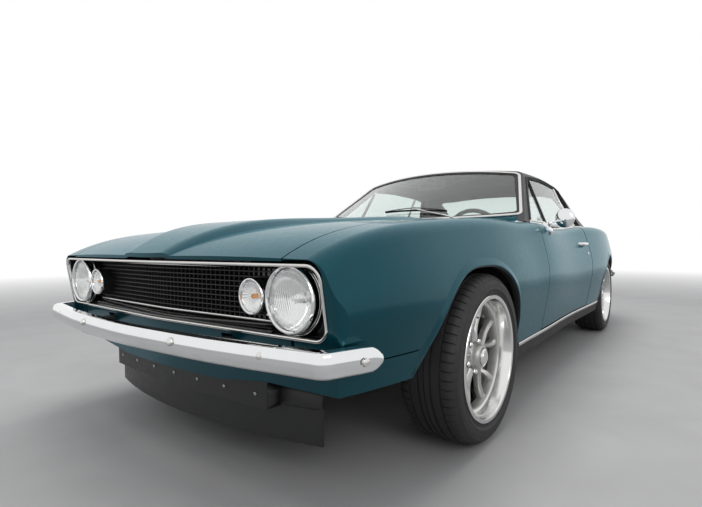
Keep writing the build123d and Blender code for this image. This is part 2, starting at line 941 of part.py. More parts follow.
with BuildPart() as air_dam:
    add(curved_strip(625, -2055, -2135, 8, dam_low_z, dam_high_z))
    add(curved_strip(480, -2140, -2162, 58, dam_high_z - dam_sheet, dam_high_z))
    add(curved_strip(480, -2140, -2162, dam_sheet, dam_high_z - dam_sheet, 352))
save(air_dam.part, "air_dam")

# Grille: a shallow black bucket, the crossed bars in it and the bright frame round it
lamp_x = 655
lamp_z = 610
lamp_radius = 89
parking_lamp_x = 500
parking_lamp_radius = 54
tail_lamp_x = 520
tail_lamp_z = 670
tail_lamp_width = 330
tail_lamp_height = 120
trim_depth = 14
bucket_front_y = -2203
bucket_back_y = -2150
bucket_mid_z = 607
bucket_width = 1552
bucket_height = 196
upper_shelf = ((-2232, 702), (-2232, 698), (-2157, 686), (-2157, 690))
lower_shelf = ((-2204, 512), (-2204, 516), (-2157, 534), (-2157, 530))
with BuildPart() as grille_housing:
    with BuildSketch(Plane.XZ.offset(-bucket_back_y)):
        with Locations((0, bucket_mid_z)):
            RectangleRounded(bucket_width, bucket_height, 42)
            RectangleRounded(bucket_width - 12, bucket_height - 12, 36, mode=Mode.SUBTRACT)
    extrude(amount=bucket_back_y - bucket_front_y)
    with BuildSketch(Plane.XZ.offset(-bucket_back_y - 1)):
        with Locations((0, bucket_mid_z)):
            RectangleRounded(bucket_width, bucket_height, 42)
    extrude(amount=7)
    for shelf in (upper_shelf, lower_shelf):
        add(side_prism(shelf, -560, 560))
    add(nose_trim(trim_depth + 3), mode=Mode.INTERSECT)
save(grille_housing.part, "grille_housing")

bar_rows = 8
bar_columns = 34
mesh_width = 1040
mesh_height = 148
upright_bar = 4
level_bar = 5
cell_width = mesh_width / bar_columns
cell_height = mesh_height / bar_rows
with BuildPart() as grille:
    with BuildSketch(Plane.XZ.offset(2156)):
        with Locations((0, lamp_z)):
            Rectangle(mesh_width + 60, mesh_height)
            with GridLocations(cell_width, cell_height, bar_columns, bar_rows):
                Rectangle(cell_width - upright_bar, cell_height - level_bar, mode=Mode.SUBTRACT)
    extrude(amount=24)
save(grille.part, "grille")

trim_width = 9
trim_high_z = hood_lip_z - shut_gap - 1
trim_low_z = opening_low_z + 1
trim_length = 2 * opening_half_width - 2
trim_height = trim_high_z - trim_low_z
trim_corner = 47
with BuildPart() as grille_trim:
    with BuildSketch(Plane.XZ.offset(2000)):
        with Locations((0, (trim_low_z + trim_high_z) / 2)):
            RectangleRounded(trim_length, trim_height, trim_corner)
            RectangleRounded(
                trim_length - 2 * trim_width,
                trim_height - 2 * trim_width,
                trim_corner - trim_width,
                mode=Mode.SUBTRACT,
            )
    extrude(amount=400)
    add(nose_trim(-4), mode=Mode.INTERSECT)
    add(nose_trim(trim_depth), mode=Mode.SUBTRACT)
save(grille_trim.part, "grille_trim")

# Headlamps and parking lamps, each a ring and a lens
with BuildPart() as headlamps:
    for x in (-lamp_x, lamp_x):
        with BuildSketch(Plane.XZ.offset(2156)):
            with Locations((x, lamp_z)):
                Circle(lamp_radius)
        extrude(amount=54)
save(headlamps.part, "headlamps")

with BuildPart() as parking_lamps:
    for x in (-parking_lamp_x, parking_lamp_x):
        with BuildSketch(Plane.XZ.offset(2180)):
            with Locations((x, lamp_z)):
                Circle(parking_lamp_radius)
        extrude(amount=34)
save(parking_lamps.part, "parking_lamps")

with BuildPart() as tail_lamps:
    for x in (-tail_lamp_x, tail_lamp_x):
        with BuildSketch(Plane.XZ.offset(-2262)):
            with Locations((x, tail_lamp_z)):
                RectangleRounded(tail_lamp_width, tail_lamp_height, 30)
        extrude(amount=-40)
    add(tail_panel.part, mode=Mode.SUBTRACT)
save(tail_lamps.part, "tail_lamps")

# Seats, dashboard and steering wheel
seat_x = 390
with BuildPart() as front_seats:
    with BuildSketch(Plane.YZ.offset(seat_x - 225)):
        with BuildLine():
            FilletPolyline(
                (-370, 256),
                (180, 256),
                (360, 850),
                (270, 870),
                (110, 440),
                (-370, 470),
                radius=40,
                close=True,
            )
        make_face()
    extrude(amount=465)
    mirror(about=Plane.YZ)
save(front_seats.part, "front_seats")

with BuildPart() as rear_seat:
    with BuildSketch(Plane.YZ.offset(-560)):
        with BuildLine():
            FilletPolyline(
                (400, 385),
                (798, 385),
                (798, 456),
                (850, 470),
                (1010, 830),
                (920, 830),
                (760, 480),
                (400, 470),
                radius=20,
                close=True,
            )
        make_face()
    extrude(amount=1120)
save(rear_seat.part, "rear_seat")

with BuildPart() as dashboard:
    with BuildSketch(Plane.YZ.offset(-690)):
        with BuildLine():
            FilletPolyline(
                (-780, 640),
                (-640, 640),
                (-560, 760),
                (-590, 850),
                (-780, 850),
                radius=25,
                close=True,
            )
        make_face()
    extrude(amount=1380)
save(dashboard.part, "dashboard")

steering_rim_radius = 185
column_x = seat_x
column_lean = radians(22)
wheel_plane = Plane(
    origin=(column_x, -400, 800),
    x_dir=(1, 0, 0),
    z_dir=(0, cos(column_lean), sin(column_lean)),
)
rim_plane = Plane(
    origin=wheel_plane.origin,
    x_dir=(0, -sin(column_lean), cos(column_lean)),
    z_dir=(1, 0, 0),
)
with BuildPart() as steering_wheel:
    with BuildSketch(rim_plane):
        with Locations((steering_rim_radius, 0)):
            RegularPolygon(14, 6)
    revolve(axis=Axis(wheel_plane.origin, wheel_plane.z_dir))
    with BuildSketch(wheel_plane.offset(-12)):
        Circle(45)
        Rectangle(2 * steering_rim_radius + 2, 34)
    extrude(amount=20)
save(steering_wheel.part, "steering_wheel")

# Round mirror on the driver's door: an oval foot, an arm and the head
mirror_centre = (915, -360, 912)
mirror_radius = 55
foot_centre = (850, -452, 846)
with BuildPart() as door_mirror:
    with BuildSketch(Plane.XZ.offset(-mirror_centre[1])):
        with Locations((mirror_centre[0], mirror_centre[2])):
            Circle(mirror_radius)
    extrude(amount=26)
    with Locations(foot_centre):
        Box(40, 96, 24)
    arm_end = (mirror_centre[0], mirror_centre[1] - 10, mirror_centre[2])
    arm_direction = Vector(*arm_end) - Vector(*foot_centre)
    with BuildSketch(Plane(origin=foot_centre, z_dir=arm_direction)):
        Circle(7)
    extrude(amount=arm_direction.length)
    add(door_left.part, mode=Mode.SUBTRACT)
save(door_mirror.part, "door_mirror")

# Road wheels and tyres
tyre_half_width = 96
rim_profile = (
    (rim_radius, 113),
    (rim_radius, tyre_half_width + 3),
    (bead_radius, tyre_half_width + 1),
    (bead_radius, -tyre_half_width - 1),
    (rim_radius, -tyre_half_width - 3),
    (rim_radius, -113),
    (206, -110),
    (206, 30),
    (213, 40),
    (221, 104),
    (236, 113),
)
corners = (
    # name, side, axle_y, centre_x
    ("front_left", 1, front_axle_y, front_wheel_x),
    ("front_right", -1, front_axle_y, front_wheel_x),
    ("rear_left", 1, rear_axle_y, rear_wheel_x),
    ("rear_right", -1, rear_axle_y, rear_wheel_x),
)


def tyre(side, axle_y, centre_x):
    """Plain tyre between the rim's beads."""
    with BuildPart() as ring:
        with BuildSketch(Plane.YZ.offset(side * centre_x - tyre_half_width)):
            with Locations((axle_y, tyre_radius)):
                Circle(tyre_radius)
                Circle(bead_radius, mode=Mode.SUBTRACT)
        extrude(amount=2 * tyre_half_width)
    return ring.part


def rim(side, axle_y, centre_x):
    """Rim turned about the axle from its profile of (radius, distance outward)."""
    with BuildPart() as ring:
        with BuildSketch(Plane.XY.offset(tyre_radius)):
            with BuildLine():
                points = [
                    (side * (centre_x + out), axle_y + radius) for radius, out in rim_profile
                ]
                Polyline(*points, close=True)
            make_face()
        revolve(axis=Axis((0, axle_y, tyre_radius), (1, 0, 0)))
    return ring.part


# Wheel centre: a hub, a cap and five pairs of legs, as distances outward from the wheel's centre
spoke_pairs = 5
spoke_split = 10
spoke_radius = 135
leg_length = 160
leg_width = 25
hub_radius = 72
cap_radius = 34
legs_from = 18
legs_to = 58
cap_to = 89
for corner, side, axle_y, centre_x in corners:
    save(tyre(side, axle_y, centre_x), f"tyre_{corner}")
    with BuildPart() as wheel:
        add(rim(side, axle_y, centre_x))
        with BuildSketch(Plane.YZ.offset(side * (centre_x - hub_inset))):
            with Locations((axle_y, tyre_radius)):
                Circle(hub_radius)
        extrude(amount=side * (legs_to + hub_inset))
        with BuildSketch(Plane.YZ.offset(side * (centre_x + legs_from))):
            with Locations((axle_y, tyre_radius)):
                for split_angle in (-spoke_split, spoke_split):
                    with PolarLocations(spoke_radius, spoke_pairs, start_angle=90 + split_angle):
                        Rectangle(leg_length, leg_width)
        extrude(amount=side * (legs_to - legs_from))
        with BuildSketch(Plane.YZ.offset(side * (centre_x + legs_to))):
            with Locations((axle_y, tyre_radius)):
                Circle(cap_radius)
        extrude(amount=side * (cap_to - legs_to))
    save(wheel.part, f"wheel_{corner}")
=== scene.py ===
import math

import bmesh
import bpy
from mathutils import Matrix, Vector
from mathutils.bvhtree import BVHTree


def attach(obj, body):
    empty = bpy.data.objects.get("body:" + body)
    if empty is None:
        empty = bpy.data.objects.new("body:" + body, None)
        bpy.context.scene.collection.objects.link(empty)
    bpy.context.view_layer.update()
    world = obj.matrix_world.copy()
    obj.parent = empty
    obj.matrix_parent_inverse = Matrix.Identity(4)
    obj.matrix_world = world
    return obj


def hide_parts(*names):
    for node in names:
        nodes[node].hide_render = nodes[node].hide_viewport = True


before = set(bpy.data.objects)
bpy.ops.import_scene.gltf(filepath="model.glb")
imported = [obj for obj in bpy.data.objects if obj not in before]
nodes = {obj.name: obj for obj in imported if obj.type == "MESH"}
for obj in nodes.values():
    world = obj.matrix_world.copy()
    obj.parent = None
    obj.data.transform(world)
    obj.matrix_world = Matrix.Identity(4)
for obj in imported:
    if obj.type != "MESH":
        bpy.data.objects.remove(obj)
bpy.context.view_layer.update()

scene = bpy.context.scene
pi = math.pi

# The photograph's frame in pixels, and the car's main places in metres
PHOTO_WIDTH = 702
FOCAL_PIXELS = 436.9
CENTRE_OFF = (-33.44, 10.87)
FRONT_AXLE, REAR_AXLE = -1.415, 1.331
WHEEL_HEIGHT = 0.325
BUMPER_HEIGHT = 0.467
BELT_HEIGHT = 0.897
X_AXIS, Y_AXIS, Z_AXIS = (1, 0, 0), (0, 1, 0), (0, 0, 1)
ORIGIN = (0, 0, 0)

# Camera
cam_data = bpy.data.cameras.new("camera")
cam = bpy.data.objects.new("camera", cam_data)
scene.collection.objects.link(cam)
scene.camera = cam
yaw, pitch, roll = 0.6175, -0.03778, -0.00323
forward = Vector((-math.sin(yaw) * math.cos(pitch), math.cos(yaw) * math.cos(pitch), math.sin(pitch)))
level = Vector((math.cos(yaw), math.sin(yaw), 0))
upward = level.cross(forward)
right = math.cos(roll) * level + math.sin(roll) * upward
up = -math.sin(roll) * level + math.cos(roll) * upward
look = Matrix((right, up, -forward)).transposed()
cam.matrix_world = Matrix.Translation((1.52098, -2.99371, 0.74564)) @ look.to_4x4()
cam_data.sensor_width = 36
cam_data.lens = cam_data.sensor_width * FOCAL_PIXELS / PHOTO_WIDTH
cam_data.shift_x, cam_data.shift_y = (c / PHOTO_WIDTH for c in CENTRE_OFF)
cam_data.clip_start, cam_data.clip_end = 0.05, 400
scene.view_settings.view_transform = "Standard"


# Materials
def tree_of(name):
    m = bpy.data.materials.new(name)
    m.use_nodes = True
    nt = m.node_tree
    return m, nt, nt.nodes["Principled BSDF"]


def add_node(nt, kind, **values):
    n = nt.nodes.new(kind)
    for k, v in values.items():
        if k in n.inputs:
            n.inputs[k].default_value = v
        else:
            setattr(n, k, v)
    return n


def ramp(nt, source, stops):
    r = nt.nodes.new("ShaderNodeValToRGB")
    while len(r.color_ramp.elements) < len(stops):
        r.color_ramp.elements.new(0.5)
    for e, (at, c) in zip(r.color_ramp.elements, stops):
        e.position = at
        e.color = (c, c, c, 1) if isinstance(c, (int, float)) else (*c, 1)
    nt.links.new(source, r.inputs["Fac"])
    return r.outputs["Color"]


def coords(nt, scale=(1, 1, 1)):
    t = nt.nodes.new("ShaderNodeTexCoord")
    mp = nt.nodes.new("ShaderNodeMapping")
    mp.inputs["Scale"].default_value = scale
    nt.links.new(t.outputs["Object"], mp.inputs["Vector"])
    return mp.outputs["Vector"]


def noise(nt, vector, scale, detail=4, rough=0.55):
    n = add_node(nt, "ShaderNodeTexNoise", Scale=scale, Detail=detail, Roughness=rough)
    nt.links.new(vector, n.inputs["Vector"])
    return n.outputs["Fac"]


def bump(nt, bsdf, height, strength, distance):
    b = add_node(nt, "ShaderNodeBump", Strength=strength, Distance=distance)
    nt.links.new(height, b.inputs["Height"])
    nt.links.new(b.outputs["Normal"], bsdf.inputs["Normal"])
    return b


def finish_of(name, slot, color, dark=0.8, metallic=0, rough=(0.4, 0.5), scale=30, bump_strength=0,
              bump_scale=400, bump_distance=0.0005, **sockets):
    """A material whose colour and roughness vary a little, with a fine surface bump."""
    m, nt, b = tree_of(name)
    v = coords(nt)
    n = noise(nt, v, scale)
    nt.links.new(ramp(nt, n, ((0.3, tuple(c * dark for c in color)), (0.7, color))), b.inputs["Base Color"])
    nt.links.new(ramp(nt, n, ((0.25, rough[0]), (0.75, rough[1]))), b.inputs["Roughness"])
    b.inputs["Metallic"].default_value = metallic
    if bump_strength:
        bump(nt, b, noise(nt, v, bump_scale, 3), bump_strength, bump_distance)
    for k, value in sockets.items():
        b.inputs[k.replace("_", " ")].default_value = value
    return m


def paint_material():
    """Teal metallic paint: fine flakes under a thin clear coat."""
    m, nt, b = tree_of("teal_metallic_paint")
    v = coords(nt)
    flakes = add_node(nt, "ShaderNodeTexVoronoi", Scale=1400)
    nt.links.new(v, flakes.inputs["Vector"])
    flake = ramp(nt, flakes.outputs["Distance"], ((0, (0, 0.08, 0.106)), (0.9, (0, 0.028, 0.039))))
    drift = ramp(nt, noise(nt, v, 1.2, 2), ((0.3, (0.93, 0.96, 0.98)), (0.7, (1, 1, 1))))
    mix = add_node(nt, "ShaderNodeMix", data_type="RGBA", blend_type="MULTIPLY")
    mix.inputs["Factor"].default_value = 1
    nt.links.new(flake, mix.inputs["A"])
    nt.links.new(drift, mix.inputs["B"])
    nt.links.new(mix.outputs["Result"], b.inputs["Base Color"])
    nt.links.new(ramp(nt, noise(nt, v, 60), ((0.3, 0.3), (0.7, 0.36))), b.inputs["Roughness"])
    b.inputs["Metallic"].default_value = 0.6
    b.inputs["Specular Tint"].default_value = (0.3, 0.78, 0.92, 1)
    b.inputs["Coat Weight"].default_value = 0.45
    b.inputs["Coat Roughness"].default_value = 0.02
    b.inputs["Coat IOR"].default_value = 1.4
    return m


def glass_material(name, color, rough=0, ior=1.45):
    """Real glass that lets shadow rays through, so that what lies behind it is lit."""
    m, nt, b = tree_of(name)
    v = coords(nt)
    nt.links.new(ramp(nt, noise(nt, v, 3), ((0.3, tuple(c * 0.98 for c in color)), (0.7, color))),
        b.inputs["Base Color"])
    b.inputs["Roughness"].default_value = rough
    b.inputs["IOR"].default_value = ior
    b.inputs["Transmission Weight"].default_value = 1
    out = nt.nodes["Material Output"]
    clear = add_node(nt, "ShaderNodeBsdfTransparent", Color=(*[c * 0.95 for c in color], 1))
    path = nt.nodes.new("ShaderNodeLightPath")
    mix = nt.nodes.new("ShaderNodeMixShader")
    nt.links.new(path.outputs["Is Shadow Ray"], mix.inputs["Fac"])
    nt.links.new(b.outputs["BSDF"], mix.inputs[1])
    nt.links.new(clear.outputs["BSDF"], mix.inputs[2])
    nt.links.new(mix.outputs["Shader"], out.inputs["Surface"])
    return m


paint = paint_material()
chrome = finish_of("bright_chrome", "chrome", (0.8, 0.81, 0.82), 0.97, 1, (0.03, 0.07), 18)
bright = finish_of("polished_trim", "chrome", (0.74, 0.73, 0.71), 0.93, 1, (0.16, 0.24), 40)
mirror_face = finish_of("mirror_face", "chrome", (0.9, 0.9, 0.9), 0.99, 1, (0.01, 0.02), 10)
reflector = finish_of("lamp_reflector", "chrome", (0.86, 0.86, 0.85), 0.96, 1, (0.1, 0.18), 25)
vinyl = finish_of("black_roof_vinyl", "roof_vinyl", (0.02, 0.021, 0.023), 0.8, 0, (0.4, 0.52), 25, 0.6, 900,
    0.0005)
black_satin = finish_of("satin_black", "black_trim", (0.012, 0.0125, 0.013), 0.75, 0, (0.38, 0.52), 35, 0.15,
    700)
black_gloss = finish_of("gloss_black", "black_trim", (0.008, 0.008, 0.009), 0.8, 0, (0.12, 0.2), 20)
underbody = finish_of("underbody_black", "chassis_black", (0.02, 0.02, 0.02), 0.6, 0, (0.6, 0.8), 12, 0.5, 250,
    0.001)
rubber = finish_of("tyre_rubber", "tyre", (0.02, 0.02, 0.021), 0.7, 0, (0.55, 0.75), 45, 0.3, 900, 0.0004)
seal = finish_of("black_seal", "black_trim", (0.01, 0.01, 0.01), 0.8, 0, (0.5, 0.65), 60)
alloy = finish_of("cast_alloy", "wheel_alloy", (0.5, 0.495, 0.48), 0.9, 0.75, (0.36, 0.46), 60, 0.12, 900,
    0.0003)
polished = finish_of("polished_alloy", "wheel_alloy", (0.78, 0.78, 0.77), 0.95, 1, (0.1, 0.18), 30)
steel = finish_of("plain_steel", "steel", (0.35, 0.35, 0.35), 0.75, 0.9, (0.35, 0.5), 25, 0.2, 300)
cast = finish_of("cast_iron", "cast_iron", (0.06, 0.058, 0.055), 0.7, 0.7, (0.55, 0.7), 40, 0.5, 500)
seat_vinyl = finish_of("black_seat_vinyl", "seat_vinyl", (0.019, 0.019, 0.02), 0.8, 0, (0.38, 0.5), 30, 0.5,
    1100, 0.0003)
carpet = finish_of("black_carpet", "black_trim", (0.014, 0.014, 0.015), 0.6, 0, (0.9, 1), 200, 0.3, 900, 0.0008)
headlining = finish_of("headlining", "seat_vinyl", (0.035, 0.035, 0.036), 0.85, 0, (0.6, 0.75), 60, 0.4, 1300,
    0.0004)
glass = glass_material("window_glass", (0.84, 0.91, 0.89))
lens = glass_material("clear_lamp_glass", (0.97, 0.98, 0.98), 0.02)
amber = glass_material("amber_glass", (0.9, 0.34, 0.03), 0.1)
red = glass_material("red_lens_glass", (0.55, 0.01, 0.008), 0.12)
white_face = finish_of("dial_marks", "black_trim", (0.6, 0.6, 0.58), 0.9, 0, (0.5, 0.6), 80)

finishes = {
    "fenders hood front_valance door_left door_right quarter_panels rear_valance": paint,
    "trunk_lid tail_panel deck_panel cowl_panel": paint,
    "roof": vinyl,
    "front_bumper rear_bumper door_mirror": chrome,
    "grille_trim": bright,
    "windshield rear_window door_glass_left door_glass_right quarter_glass": glass,
    "headlamps parking_lamps": lens,
    "tail_lamps": red,
    "air_dam grille": black_satin,
    "grille_housing": black_gloss,
    "dashboard steering_wheel": black_satin,
    "sills hinge_pillars rear_wheelhouses front_aprons front_subframe fuel_tank": underbody,
    "floor_pan": carpet,
    "radiator exhaust rear_axle": steel,
    "engine knuckle_left knuckle_right": cast,
    "wheel_front_left wheel_front_right wheel_rear_left wheel_rear_right": alloy,
    "tyre_front_left tyre_front_right tyre_rear_left tyre_rear_right": rubber,
    "front_seats rear_seat": seat_vinyl,
}
for names, material in finishes.items():
    for n in names.split():
        data = nodes[n].data
        data.materials.clear()
        data.materials.append(material)


# Making of pieces
def rounded(points, radii, step=0.12, closed=False):
    """Points of a polyline whose corners are rounded."""
    pts = [Vector(p) for p in points]
    n = len(pts)
    if isinstance(radii, (int, float)):
        radii = [radii] * n
    out = []
    for i, p in enumerate(pts):
        r = radii[i]
        if r <= 0 or (not closed and i in (0, n - 1)):
            out.append(p)
            continue
        a = (pts[i - 1] - p).normalized()
        b = (pts[(i + 1) % n] - p).normalized()
        half = math.acos(max(-1, min(1, a.dot(b)))) / 2
        if half > pi / 2 - 1e-4:
            out.append(p)
            continue
        t = r / math.tan(half)
        centre = p + (a + b).normalized() * (r / math.sin(half))
        s, e = p + a * t - centre, p + b * t - centre
        sweep = pi - 2 * half
        steps = max(2, math.ceil(sweep / step))
        for k in range(steps + 1):
            f = k / steps
            out.append(centre + (s * math.sin((1 - f) * sweep) + e * math.sin(f * sweep)) / math.sin(sweep))
    return out


def denser(points, gap, closed=False):
    """The same line with more points on its long runs."""
    out = []
    n = len(points)
    for i in range(n if closed else n - 1):
        a, b = points[i], points[(i + 1) % n]
        steps = max(1, math.ceil((b - a).length / gap))
        out += [a.lerp(b, k / steps) for k in range(steps)]
    if not closed:
        out.append(points[-1])
    return out


def box_outline(x0, y0, x1, y1, radius, step=0.2):
    """Rounded rectangle in the XY plane."""
    return rounded([(x0, y0, 0), (x1, y0, 0), (x1, y1, 0), (x0, y1, 0)], radius, step, True)


def ring_section(radius_x, radius_y=None, sides=12):
    """Oval section for a sweep."""
    radius_y = radius_y or radius_x
    return [(radius_x * math.cos(2 * pi * k / sides), radius_y * math.sin(2 * pi * k / sides))
        for k in range(sides)]


def bar_section(width, height, corner=0.001, base=0):
    """Rounded rectangle, sitting with its lower side at base."""
    pts = box_outline(-width / 2, base, width / 2, base + height, corner, 0.5)
    return [(p.x, p.y) for p in pts]


def turn(degrees, axis="X"):
    return Matrix.Rotation(math.radians(degrees), 4, axis)


def frame_of(x, y, z, at=ORIGIN):
    """Matrix whose own axes point along x, y and z."""
    return Matrix.Translation(at) @ Matrix([Vector(d) for d in (x, y, z)]).transposed().to_4x4()


def mm(*values):
    """Pairs in metres, from a flat row of millimetres."""
    return [(a / 1000, b / 1000) for a, b in zip(values[::2], values[1::2])]


class Shape:
    def __init__(self):
        self.v, self.f = [], []

    def add(self, verts, faces):
        n = len(self.v)
        self.v += [Vector(p) for p in verts]
        self.f += [tuple(n + i for i in face) for face in faces]
        return self

    def lathe(self, at, axis, profile, steps=72, closed=False):
        """Turn (radius, along) points about an axis."""
        a = Vector(axis).normalized()
        u = a.orthogonal().normalized()
        w = a.cross(u)
        n = len(profile)
        verts, faces = [], []
        for k in range(steps):
            d = math.cos(2 * pi * k / steps) * u + math.sin(2 * pi * k / steps) * w
            verts += [Vector(at) + a * h + d * r for r, h in profile]
            for j in range(n if closed else n - 1):
                j2, k2 = (j + 1) % n, (k + 1) % steps
                faces.append((k * n + j, k * n + j2, k2 * n + j2, k2 * n + j))
        return self.add(verts, faces)

    def sweep(self, path, section, up=(0, 0, 1), closed=False, ups=None, scale=None):
        """Carry a section of (side, up) points along a path."""
        path = [Vector(p) for p in path]
        n, m = len(path), len(section)
        verts, faces = [], []
        for i, p in enumerate(path):
            before = path[i - 1] if closed or i else p
            after = path[(i + 1) % n] if closed or i < n - 1 else p
            along = (after - before).normalized()
            side = along.cross(ups[i] if ups else Vector(up)).normalized()
            lift = side.cross(along)
            s = scale(i / (n - 1)) if scale else 1
            sx, sy = s if isinstance(s, tuple) else (s, s)
            verts += [p + side * (x * sx) + lift * (y * sy) for x, y in section]
        for i in range(n if closed else n - 1):
            i2 = (i + 1) % n
            for j in range(m):
                j2 = (j + 1) % m
                faces.append((i * m + j, i * m + j2, i2 * m + j2, i2 * m + j))
        if not closed:
            faces += [tuple(range(m))[::-1], tuple((n - 1) * m + j for j in range(m))]
        return self.add(verts, faces)

    def tube(self, points, radius, sides=12, up=(0, 0, 1), corner=0, step=0.2):
        """Round or oval rod along a polyline with rounded corners."""
        path = rounded(points, corner, step) if corner else points
        across, along = radius if isinstance(radius, tuple) else (radius, radius)
        return self.sweep(path, ring_section(across, along, sides), up)

    def block(self, lo, hi, bevel=0.003, matrix=None, segments=2):
        """Box between two corners with rounded edges."""
        bm = bmesh.new()
        bmesh.ops.create_cube(bm, size=1)
        lo, hi = Vector(lo), Vector(hi)
        for v in bm.verts:
            v.co = Vector(((lo[i] + hi[i]) / 2 + v.co[i] * (hi[i] - lo[i]) for i in range(3)))
        if bevel:
            bmesh.ops.bevel(bm, geom=bm.edges[:], offset=bevel, segments=segments, affect="EDGES", profile=0.5)
        if matrix:
            bm.transform(matrix)
        bm.verts.index_update()
        self.add([v.co.copy() for v in bm.verts], [[v.index for v in f.verts] for f in bm.faces])
        bm.free()
        return self

    def slab(self, outline, thickness, matrix=Matrix(), bevel=0):
        """Flat plate over an outline in its own XY plane, thick towards +Z."""
        n = len(outline)
        rings = [(0, 0), (0, thickness)]
        if bevel:
            rings = [(0, 0), (0, thickness - bevel), (bevel * 0.3, thickness - bevel * 0.3), (bevel, thickness)]
        verts, faces = [], []
        centre = sum((Vector((p[0], p[1], 0)) for p in outline), Vector()) / n
        for inset, z in rings:
            for p in outline:
                q = Vector((p[0], p[1], 0))
                d = centre - q
                q += d.normalized() * min(inset, d.length * 0.5)
                verts.append(matrix @ Vector((q.x, q.y, z)))
        for r in range(len(rings) - 1):
            for j in range(n):
                j2 = (j + 1) % n
                faces.append((r * n + j, r * n + j2, (r + 1) * n + j2, (r + 1) * n + j))
        faces += [tuple(range(n))[::-1], tuple((len(rings) - 1) * n + j for j in range(n))]
        return self.add(verts, faces)

    def grid(self, rows, closed_u=False):
        """Sheet through rows of points."""
        n, m = len(rows), len(rows[0])
        verts = [p for row in rows for p in row]
        faces = []
        for i in range(n if closed_u else n - 1):
            i2 = (i + 1) % n
            faces += [(i * m + j, i * m + j + 1, i2 * m + j + 1, i2 * m + j) for j in range(m - 1)]
        return self.add(verts, faces)

    def moved(self, matrix):
        flip = matrix.determinant() < 0
        return Shape().add([matrix @ p for p in self.v], [f[::-1] if flip else f for f in self.f])

    def join(self, other):
        return self.add(other.v, other.f)


mirror_x = Matrix.Scale(-1, 4, X_AXIS)


def turned(profile, steps=72, closed=False):
    """Turned part about its own Z axis."""
    return Shape().lathe(ORIGIN, Z_AXIS, profile, steps, closed)


def mesh_of(shape, name, material, angle=35):
    """Clean mesh, smooth up to the angle."""
    mesh = bpy.data.meshes.new(name)
    bm = bmesh.new()
    verts = [bm.verts.new(p) for p in shape.v]
    for f in shape.f:
        try:
            bm.faces.new([verts[i] for i in f])
        except ValueError:
            pass
    bmesh.ops.remove_doubles(bm, verts=bm.verts[:], dist=1e-6)
    bmesh.ops.dissolve_degenerate(bm, edges=bm.edges[:], dist=1e-7)
    bmesh.ops.recalc_face_normals(bm, faces=bm.faces[:])
    bm.to_mesh(mesh)
    bm.free()
    mesh.shade_smooth()
    mesh.set_sharp_from_angle(angle=math.radians(angle))
    mesh.materials.append(material)
    return mesh


def place(mesh, name, body, matrix=None, replaces=()):
    """Object that rides on a body; its place is in its mesh."""
    if matrix:
        mesh = mesh.copy()
        mesh.transform(matrix)
    obj = bpy.data.objects.new(name, mesh)
    scene.collection.objects.link(obj)
    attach(obj, body)
    if replaces:
        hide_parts(*replaces)
    return obj


def piece(shape, name, material, body="body", replaces=(), angle=35, thick=0):
    obj = place(mesh_of(shape, name, material, angle), name, body, replaces=replaces)
    if thick:
        s = obj.modifiers.new("thick", "SOLIDIFY")
        s.thickness, s.offset = thick, 0


def pair(shape, name, material, bodies=("body", "body"), replaces=((), ()), angle=35, thick=0):
    """The piece on the left and its mirror image on the right."""
    piece(shape, name + "_left", material, bodies[0], replaces[0], angle, thick)
    piece(shape.moved(mirror_x), name + "_right", material, bodies[1], replaces[1], angle, thick)


def both(shape):
    """The shape and its mirror image as one."""
    return Shape().join(shape).join(shape.moved(mirror_x))


def surface(names):
    """Search tree over CAD pieces."""
    verts, faces = [], []
    for n in names.split():
        data = nodes[n].data
        k = len(verts)
        verts += [nodes[n].matrix_world @ v.co for v in data.vertices]
        faces += [tuple(k + i for i in p.vertices) for p in data.polygons]
    return BVHTree.FromPolygons(verts, faces)


left_side = surface("fenders door_left quarter_panels front_valance rear_valance sills")
top_side = surface("hood fenders cowl_panel deck_panel trunk_lid quarter_panels door_left roof")
tail_side = surface("tail_panel quarter_panels rear_valance trunk_lid")


def hit(tree, start, direction, near, lift=0):
    """Where a ray meets the surface, or else its nearest point, lifted outwards, and the normal there."""
    at, normal, _, _ = tree.ray_cast(Vector(start), Vector(direction))
    if at is None:
        at, normal, _, _ = tree.find_nearest(Vector(near))
    if normal.dot(Vector(direction)) > 0:
        normal = -normal
    return at + normal * lift, normal


def on_side(y, z, lift=0, tree=left_side, far=1.4, near=0.9):
    return hit(tree, (far, y, z), (-1, 0, 0), (near, y, z), lift)


def on_top(x, y, lift=0, tree=top_side):
    return hit(tree, (x, y, 2), (0, 0, -1), (x, y, 0.9), lift)


def on_tail(x, z, lift=0, tree=tail_side):
    return hit(tree, (x, 3, z), (0, -1, 0), (x, 2.3, z), lift)


def smooth_line(points, passes=2):
    """Ease small kinks out of a line that was read off a faceted surface."""
    pts = [p.copy() for p in points]
    for _ in range(passes):
        pts = [pts[0]] + [(pts[i - 1] + 2 * pts[i] + pts[i + 1]) / 4
            for i in range(1, len(pts) - 1)] + [pts[-1]]
    return pts


def nose(x, z, out=0):
    """Depth of the nose's face."""
    a = abs(x)
    s = 0.00197 + a * a / 3.6 if a < 0.084 else 0.0468 * a
    return -2.262 + s + (0.729 - z) * 0.1584 - out


